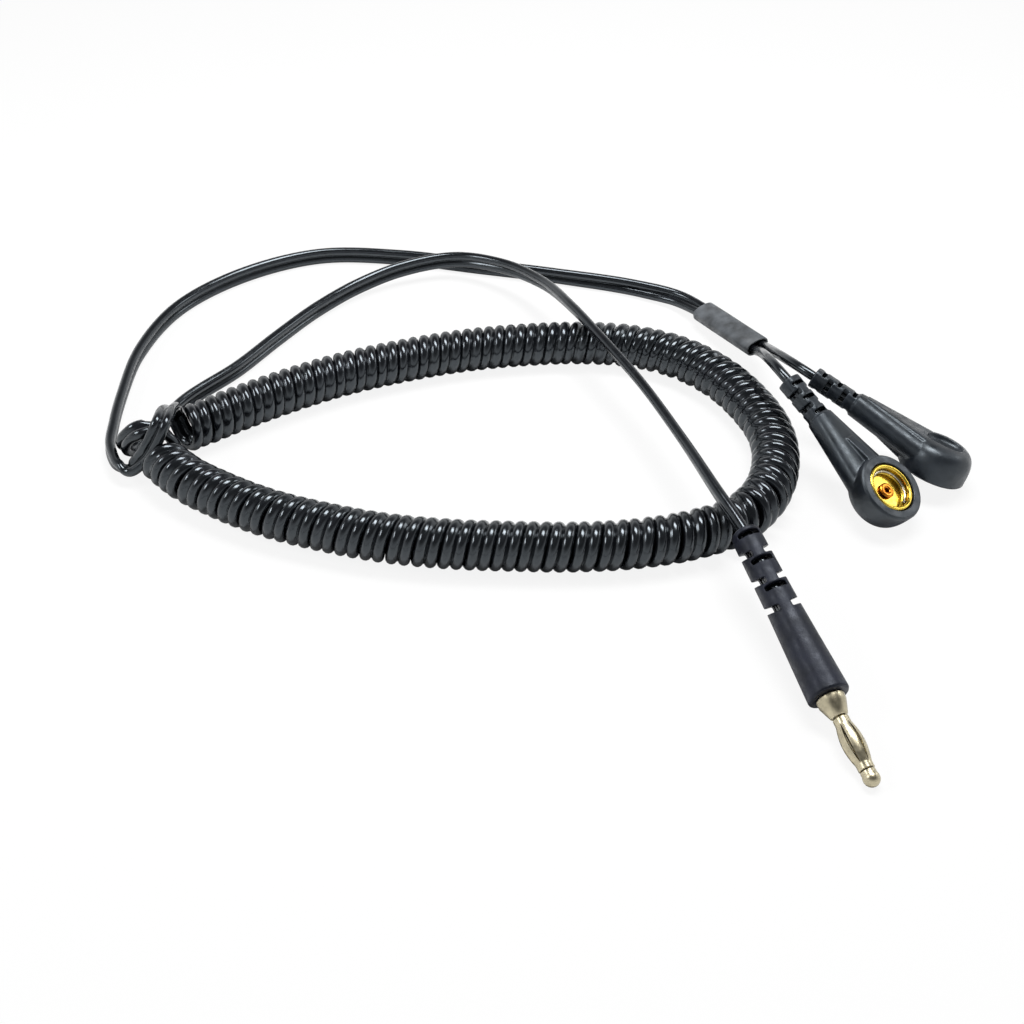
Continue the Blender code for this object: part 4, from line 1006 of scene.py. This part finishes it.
class GROUNDCORD_OT_snap_shells(bpy.types.Operator):
    """Moulds the two snap bodies, each with a slotted relief, a neck, a gusset and a round head"""

    bl_idname = "ground_cord.snap_shells"
    bl_label = "Snap Bodies"

    def execute(self, context):
        cord = context.scene.ground_cord_sizes
        sizes = context.scene.ground_cord_snap
        gap = cord.clearance
        bore = cord.wire / 2 + gap
        reach = max(sizes.relief_width, sizes.relief_thick)
        for label in SNAP_PLACES:
            head, neck = snap_axes(label, sizes)
            thick = sizes.relief_thick / 2
            wide = sizes.relief_width / 2
            bar = oval_rings((
                (0.0, thick * RELIEF_LEAD_IN, wide * RELIEF_LEAD_IN),
                (sizes.edge / 2, thick, wide),
                (sizes.relief_length + 2 * gap, thick, wide),
            ), RELIEF_POWER)
            joined = [put(head, head_rings(sizes)), put(neck, neck_rings(sizes)), put(neck, bar)]
            joined += [put(head, gusset_rings(sizes)), put(neck, plate_rings(sizes))]
            hole = turned(((bore, -sizes.edge), (bore, sizes.relief_length)), HOLE_SEGMENTS)
            cut = [put(head, pocket_rings(sizes, gap)), put(neck, hole), put(head, recess_rings(sizes))]
            slots = relief_slots(sizes, SNAP_SLOTS, sizes.slot_span, sizes.slot_web, reach)
            cut += [put(neck, slot) for slot in slots]
            obj = moulded(f"{label}_shell", joined, cut, materials()["shell"])
            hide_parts(f"{label}_snap_body")
        return {"FINISHED"}


def groove_levels(sizes, gap):
    """Heights of the top and underside of the ring spring's groove."""
    top = -sizes.cup_set_back - sizes.cup_lip
    return top, top - sizes.ring_wire - 2 * gap


def cup_profile(sizes, gap):
    """A wall with a half-round rim, a square groove for the spring and a quarter round to the floor."""
    rim, floor, under, _, _ = cup_levels(sizes, gap)
    top, low = groove_levels(sizes, gap)
    outer = sizes.cup_outer / 2
    bore = sizes.cup_bore / 2
    hole = sizes.eyelet_outer / 2 + gap
    groove = sizes.ring_outer / 2 + gap
    roll = (outer - bore) / 2
    return np.concatenate((
        ((outer, under), (outer, rim - roll)),
        arc((outer - roll, rim - roll), roll, 0, 180, 2 * ROUND_STEPS),
        ((bore, top), (groove, top), (groove, low), (bore, low)),
        arc((bore - CUP_ROUND, floor + CUP_ROUND), CUP_ROUND, 0, -90),
        ((hole, floor), (hole, under)),
    ))


def eyelet_profile(sizes, gap):
    """A hollow rivet: a flat flange, a straight shaft and a flange crowned by a flattened half circle."""
    _, floor, _, _, lug_under = cup_levels(sizes, gap)
    shaft = sizes.eyelet_outer / 2
    inside = sizes.eyelet_bore / 2
    flange = sizes.eyelet_flange / 2
    top = floor + gap
    low = lug_under - gap
    half = sizes.eyelet_thick / 2
    bead = (flange - inside) / 2
    crown = arc((flange - bead, top + half), bead, 0, 180, 2 * ROUND_STEPS)
    return np.concatenate((
        ((inside, low - sizes.eyelet_thick), (flange, low - sizes.eyelet_thick), (flange, low)),
        ((shaft, low), (shaft, top)),
        arc((flange - half, top + half), half, -90, 0),
        crown * (1, CROWN_FLAT) + (0, (1 - CROWN_FLAT) * (top + half)),
    ))


def face_profile(sizes):
    """A thin flat ring round the cup, its two upper edges quarter rounds."""
    edge = sizes.edge / 2
    outer = sizes.head / 2 - FACE_INSET
    inner = sizes.cup_outer / 2 + FACE_GAP
    return np.concatenate((
        ((inner, -sizes.edge), (outer, -sizes.edge)),
        arc((outer - edge, FACE_PROUD - edge), edge, 0, 90),
        arc((inner + edge, FACE_PROUD - edge), edge, 90, 180),
    ))


def spring_rings(sizes, gap):
    """A round wire carried along an open circle in the middle of the cup's groove."""
    height = sum(groove_levels(sizes, gap)) / 2
    radius = (sizes.ring_outer - sizes.ring_wire) / 2
    sweep = np.linspace(sizes.ring_split / 2, math.tau - sizes.ring_split / 2, TURN_SEGMENTS)
    circle = np.stack((radius * np.cos(sweep), radius * np.sin(sweep), 0 * sweep + height), axis=-1)
    return tube_rings(circle, sizes.ring_wire / 2, RING_SIDES)


class GROUNDCORD_OT_sockets(bpy.types.Operator):
    """Turns the socket cups and eyelets and bends the ring springs"""

    bl_idname = "ground_cord.sockets"
    bl_label = "Sockets"

    def execute(self, context):
        gap = context.scene.ground_cord_sizes.clearance
        sizes = context.scene.ground_cord_snap
        cup = turned(cup_profile(sizes, gap))
        eyelet = turned(eyelet_profile(sizes, gap))
        face = turned(face_profile(sizes))
        spring = spring_rings(sizes, gap)
        for label in SNAP_PLACES:
            head, _ = snap_axes(label, sizes)
            ring = f"{label}_ring"
            parts = (
                (f"{label}_cup", cup, True, "brass", BODY, f"{label}_socket_cup"),
                (f"{label}_rivet", eyelet, True, "copper", BODY, f"{label}_eyelet"),
                (f"{label}_spring_wire", spring, False, "steel", ring, f"{label}_ring_spring"),
            )
            for name, rings, looped, look, body, cad in parts:
                obj = piece(name, [(put(head, rings), looped)], materials()[look], body)
                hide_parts(cad)
            piece(f"{label}_face_ring", [(put(head, face), True)], materials()["shell"])
        return {"FINISHED"}


class GROUNDCORD_OT_handle(bpy.types.Operator):
    """Moulds the plug's handle with its slotted relief"""

    bl_idname = "ground_cord.handle"
    bl_label = "Plug Handle"

    def execute(self, context):
        cord = context.scene.ground_cord_sizes
        sizes = context.scene.ground_cord_plug
        gap = cord.clearance
        plug = plug_axes()
        joint = sizes.relief_length
        front = joint + sizes.handle_length
        half_width = sizes.relief_width / 2
        half_height = sizes.relief_height / 2
        turn = np.linspace(0, math.pi / 2, ROUND_STEPS)
        radius = sizes.handle_front / 2 - sizes.handle_round * (1 - np.cos(turn))
        edge = np.stack((front - sizes.handle_round * (1 - np.sin(turn)), radius, radius), axis=-1)
        sections = np.concatenate((
            ((0, half_height * PLUG_LEAD_IN, half_width * PLUG_LEAD_IN), (gap, half_height, half_width)),
            ((joint, half_height, sizes.handle_rear / 2),),
            edge,
        ))
        bore_x = cord.wire + gap
        bore_y = cord.wire / 2 + gap
        shank = sizes.shank / 2 + gap
        start = sizes.insert + sizes.crimp_length
        cut = [
            oval_rings(((-gap, bore_x, bore_y), (sizes.insert, bore_x, bore_y)), PLUG_POWER),
            turned(((shank, start), (shank, front + gap)), PIN_SEGMENTS),
        ]
        reach = max(sizes.relief_width, sizes.relief_height)
        cut += relief_slots(sizes, PLUG_SLOTS, sizes.slit_span, sizes.web, reach, sizes.slant)
        obj = moulded(
            "plug_shell", [put(plug, oval_rings(sections, PLUG_POWER))], [put(plug, form) for form in cut],
            materials()["handle"],
        )
        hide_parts("plug_handle")
        return {"FINISHED"}


def lantern_lofts(sizes, start, gap):
    """Leaves between two bands, each a closed strip of sheet that bows out and narrows with a sine."""
    inner_band = sizes.mandrel / 2 + gap
    outer_band = inner_band + sizes.lantern_wall
    share = np.linspace(0, 1, LEAF_ROWS)
    band = sizes.lantern_band
    height = start + band / 2 + (sizes.lantern_length - band) * share
    inside = np.clip((height - start - band) / (sizes.lantern_length - 2 * band), 0, 1)
    outer = outer_band + (sizes.lantern_bulge / 2 - outer_band) * np.sin(math.pi * inside) ** BOW_POWER
    pitch = math.tau / sizes.lantern_leaves
    width = pitch * (LEAF_HALF - LEAF_WAIST * np.sin(math.pi * inside) ** LEAF_WAIST_POWER)
    across = np.linspace(-1, 1, LEAF_COLUMNS)
    lofts = []
    for leaf in range(sizes.lantern_leaves):
        angle = leaf * pitch + width[:, None] * across[None]
        sheets = []
        for radius, order in ((outer, 1), (outer - sizes.lantern_wall, -1)):
            sheet = np.stack((
                radius[:, None] * np.cos(angle),
                radius[:, None] * np.sin(angle),
                height[:, None] + 0 * angle,
            ), axis=-1)
            sheets.append(sheet[:, ::order])
        lofts.append((np.concatenate(sheets, axis=1), False))
    lip = sizes.lantern_wall / 3
    for low in (start, start + sizes.lantern_length - band):
        profile = (
            (inner_band, low), (outer_band - lip, low), (outer_band, low + lip),
            (outer_band, low + band - lip), (outer_band - lip, low + band), (inner_band, low + band),
        )
        lofts.append((turned(profile, PIN_SEGMENTS), True))
    return lofts


class GROUNDCORD_OT_pin(bpy.types.Operator):
    """Turns the plug's core and forms the lantern spring around it"""

    bl_idname = "ground_cord.pin"
    bl_label = "Plug Pin"

    def execute(self, context):
        gap = context.scene.ground_cord_sizes.clearance
        sizes = context.scene.ground_cord_plug
        plug = plug_axes()
        front = sizes.relief_length + sizes.handle_length
        collar_start = front + gap
        cone_start = collar_start + sizes.collar_length
        neck_start = cone_start + sizes.cone_length
        lantern_start = neck_start + gap
        tip_start = lantern_start + sizes.lantern_length + gap
        ball_start = tip_start + sizes.tip_length
        shank = sizes.shank / 2
        collar = sizes.collar / 2
        ball = sizes.tip_ball / 2
        turn = np.linspace(TIP_FROM, TIP_TO, 2 * ROUND_STEPS)
        rise = ball * (np.sin(turn) - math.sin(TIP_FROM))
        tip = np.stack((ball * np.cos(turn), ball_start + gap + rise), axis=-1)
        taper, shoulder = COLLAR_TAPER
        profile = np.concatenate((
            ((shank, sizes.insert + sizes.crimp_length + 3 * gap), (shank, collar_start)),
            ((collar, collar_start), (collar * taper, cone_start - CORE_LIP)),
            ((collar * shoulder, cone_start + CORE_LIP),),
            ((sizes.neck / 2 + CORE_LIP, neck_start - CORE_LIP), (sizes.neck / 2, neck_start)),
            ((sizes.mandrel / 2, neck_start), (sizes.mandrel / 2, tip_start)),
            ((sizes.tip_collar / 2, tip_start), (sizes.tip_collar / 2, ball_start)),
            tip,
        ))
        rings = put(plug, turned(profile, PIN_SEGMENTS))
        core = piece("pin_core", [(rings, False)], materials()["nickel"])
        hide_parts("plug_core")
        lofts = [(put(plug, rings), looped) for rings, looped in lantern_lofts(sizes, lantern_start, gap)]
        lantern = piece("lantern_leaves", lofts, materials()["nickel"], "lantern")
        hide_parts("lantern_spring")
        return {"FINISHED"}


class GROUNDCORD_OT_inner_parts(bpy.types.Operator):
    """Gives the parts inside the mouldings their finishes"""

    bl_idname = "ground_cord.inner_parts"
    bl_label = "Inner Parts"

    def execute(self, context):
        looks = {"lug": "tin", "ferrule": "tin", "resistor": "resistor"}
        named = {f"{label}_{part}": look for label in SNAP_PLACES for part, look in looks.items()}
        named["conductor_crimp"] = "tin"
        for name, look in named.items():
            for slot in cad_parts[name].material_slots:
                slot.material = materials()[look]
        return {"FINISHED"}


class GROUNDCORD_OT_stage(bpy.types.Operator):
    """Sets the table, the lamps, the white surround and the camera"""

    bl_idname = "ground_cord.stage"
    bl_label = "Stage"

    def execute(self, context):
        scene = context.scene
        stage = scene.ground_cord_stage
        scene.view_settings.view_transform = "Standard"
        self.table()
        self.surround(scene, stage)
        for name, (place, size, share) in LAMPS.items():
            self.lamp(name, place, size, stage.key * share)
        camera = bpy.data.cameras.new("view")
        camera.sensor_width = SENSOR
        camera.lens = stage.lens
        camera.clip_start = CLIP_START
        camera.clip_end = CLIP_END
        eye = bpy.data.objects.new("view", camera)
        away = np.array((0.0, -math.cos(stage.elevation), math.sin(stage.elevation)))
        eye.location = np.array(VIEW_CENTRE) + stage.distance * away
        eye.rotation_euler = (math.pi / 2 - stage.elevation, 0.0, 0.0)
        scene.collection.objects.link(eye)
        scene.camera = eye
        return {"FINISHED"}

    def table(self):
        """A wide pale sheet under the cord that shows white but keeps the shadow."""
        mesh = bpy.data.meshes.new("table")
        signs = ((-1, -1), (1, -1), (1, 1), (-1, 1))
        corners = [(x * TABLE_HALF, y * TABLE_HALF, -TABLE_DROP) for x, y in signs]
        mesh.from_pydata(corners, [], [(0, 1, 2, 3)])
        material = bpy.data.materials.new("pale_table")
        material.use_nodes = True
        tree = material.node_tree
        shader = tree.nodes["Principled BSDF"]
        shader.inputs["Base Color"].default_value = TABLE_TONE
        shader.inputs["Roughness"].default_value = TABLE_ROUGHNESS
        shader.inputs["Specular IOR Level"].default_value = 0.0
        white = node(tree, "ShaderNodeEmission", {"Strength": 1.0})
        seen = node(tree, "ShaderNodeLightPath", {})
        share = node(tree, "ShaderNodeMath", {
            0: seen.outputs["Is Camera Ray"], 1: TABLE_WHITE,
        }, operation="MULTIPLY")
        mix = node(tree, "ShaderNodeMixShader", {
            0: share.outputs["Value"], 1: shader.outputs["BSDF"], 2: white.outputs["Emission"],
        })
        tree.links.new(mix.outputs["Shader"], tree.nodes["Material Output"].inputs["Surface"])
        mesh.materials.append(material)
        obj = bpy.data.objects.new("table", mesh)
        bpy.context.scene.collection.objects.link(obj)

    def surround(self, scene, stage):
        """White for the eye, dimmer overhead for mirrors and glass, and a low level that lights the cord."""
        world = bpy.data.worlds.new("surround")
        scene.world = world
        world.use_nodes = True
        tree = world.node_tree
        soft = tree.nodes["Background"]
        soft.inputs["Color"].default_value = WHITE
        soft.inputs["Strength"].default_value = stage.fill
        seen = node(tree, "ShaderNodeLightPath", {})
        heading = tree.nodes.new("ShaderNodeTexCoord").outputs["Generated"]
        height = node(tree, "ShaderNodeSeparateXYZ", {"Vector": heading}).outputs["Z"]
        ceiling = node(tree, "ShaderNodeMapRange", {
            "Value": height, "From Min": stage.horizon[0], "From Max": stage.horizon[1],
            "To Min": 1.0, "To Max": stage.ceiling,
        }, interpolation_type="SMOOTHSTEP")
        strength = node(tree, "ShaderNodeMath", {
            0: ceiling.outputs["Result"], 1: seen.outputs["Is Camera Ray"],
        }, operation="MAXIMUM")
        white = node(tree, "ShaderNodeBackground", {
            "Color": WHITE, "Strength": strength.outputs["Value"],
        })
        mirrored = node(tree, "ShaderNodeMath", {
            0: seen.outputs["Is Camera Ray"], 1: seen.outputs["Is Glossy Ray"],
        }, operation="MAXIMUM")
        either = node(tree, "ShaderNodeMath", {
            0: mirrored.outputs["Value"], 1: seen.outputs["Is Transmission Ray"],
        }, operation="MAXIMUM")
        mix = node(tree, "ShaderNodeMixShader", {
            0: either.outputs["Value"], 1: soft.outputs["Background"], 2: white.outputs["Background"],
        })
        tree.links.new(mix.outputs["Shader"], tree.nodes["World Output"].inputs["Surface"])

    def lamp(self, name, place, size, power):
        """A long soft lamp that faces the middle of the view."""
        light = bpy.data.lights.new(name, "AREA")
        light.shape = "RECTANGLE"
        light.size, light.size_y = size
        light.energy = power
        obj = bpy.data.objects.new(name, light)
        toward = axes(place, LAMP_SIDE, np.array(place) - np.array(VIEW_CENTRE))
        obj.matrix_world = [tuple(row) for row in toward.T]
        bpy.context.scene.collection.objects.link(obj)


class GROUNDCORD_PT_panel(bpy.types.Panel):
    """Lists the cord's builders"""

    bl_idname = "GROUNDCORD_PT_panel"
    bl_label = "Ground Cord"
    bl_space_type = "VIEW_3D"
    bl_region_type = "UI"
    bl_category = "Ground Cord"

    def draw(self, context):
        for operator in OPERATORS:
            self.layout.operator(operator.bl_idname)


OPERATORS = (
    GROUNDCORD_OT_sleeve,
    GROUNDCORD_OT_twin,
    GROUNDCORD_OT_snap_shells,
    GROUNDCORD_OT_leads,
    GROUNDCORD_OT_sockets,
    GROUNDCORD_OT_handle,
    GROUNDCORD_OT_pin,
    GROUNDCORD_OT_inner_parts,
    GROUNDCORD_OT_stage,
)
GROUPS = {
    "ground_cord_sizes": CordSizes,
    "ground_cord_snap": SnapSizes,
    "ground_cord_plug": PlugSizes,
    "ground_cord_finishes": Finishes,
    "ground_cord_stage": StageSettings,
}


def register():
    for group in GROUPS.values():
        bpy.utils.register_class(group)
    for name, group in GROUPS.items():
        setattr(bpy.types.Scene, name, bpy.props.PointerProperty(type=group))
    for operator in OPERATORS:
        bpy.utils.register_class(operator)
    bpy.utils.register_class(GROUNDCORD_PT_panel)


def unregister():
    bpy.utils.unregister_class(GROUNDCORD_PT_panel)
    for operator in reversed(OPERATORS):
        bpy.utils.unregister_class(operator)
    for name in GROUPS:
        delattr(bpy.types.Scene, name)
    for group in reversed(GROUPS.values()):
        bpy.utils.unregister_class(group)


def main():
    register()
    for operator in OPERATORS:
        category, name = operator.bl_idname.split(".")
        getattr(getattr(bpy.ops, category), name)()


if __name__ == "__main__":
    main()
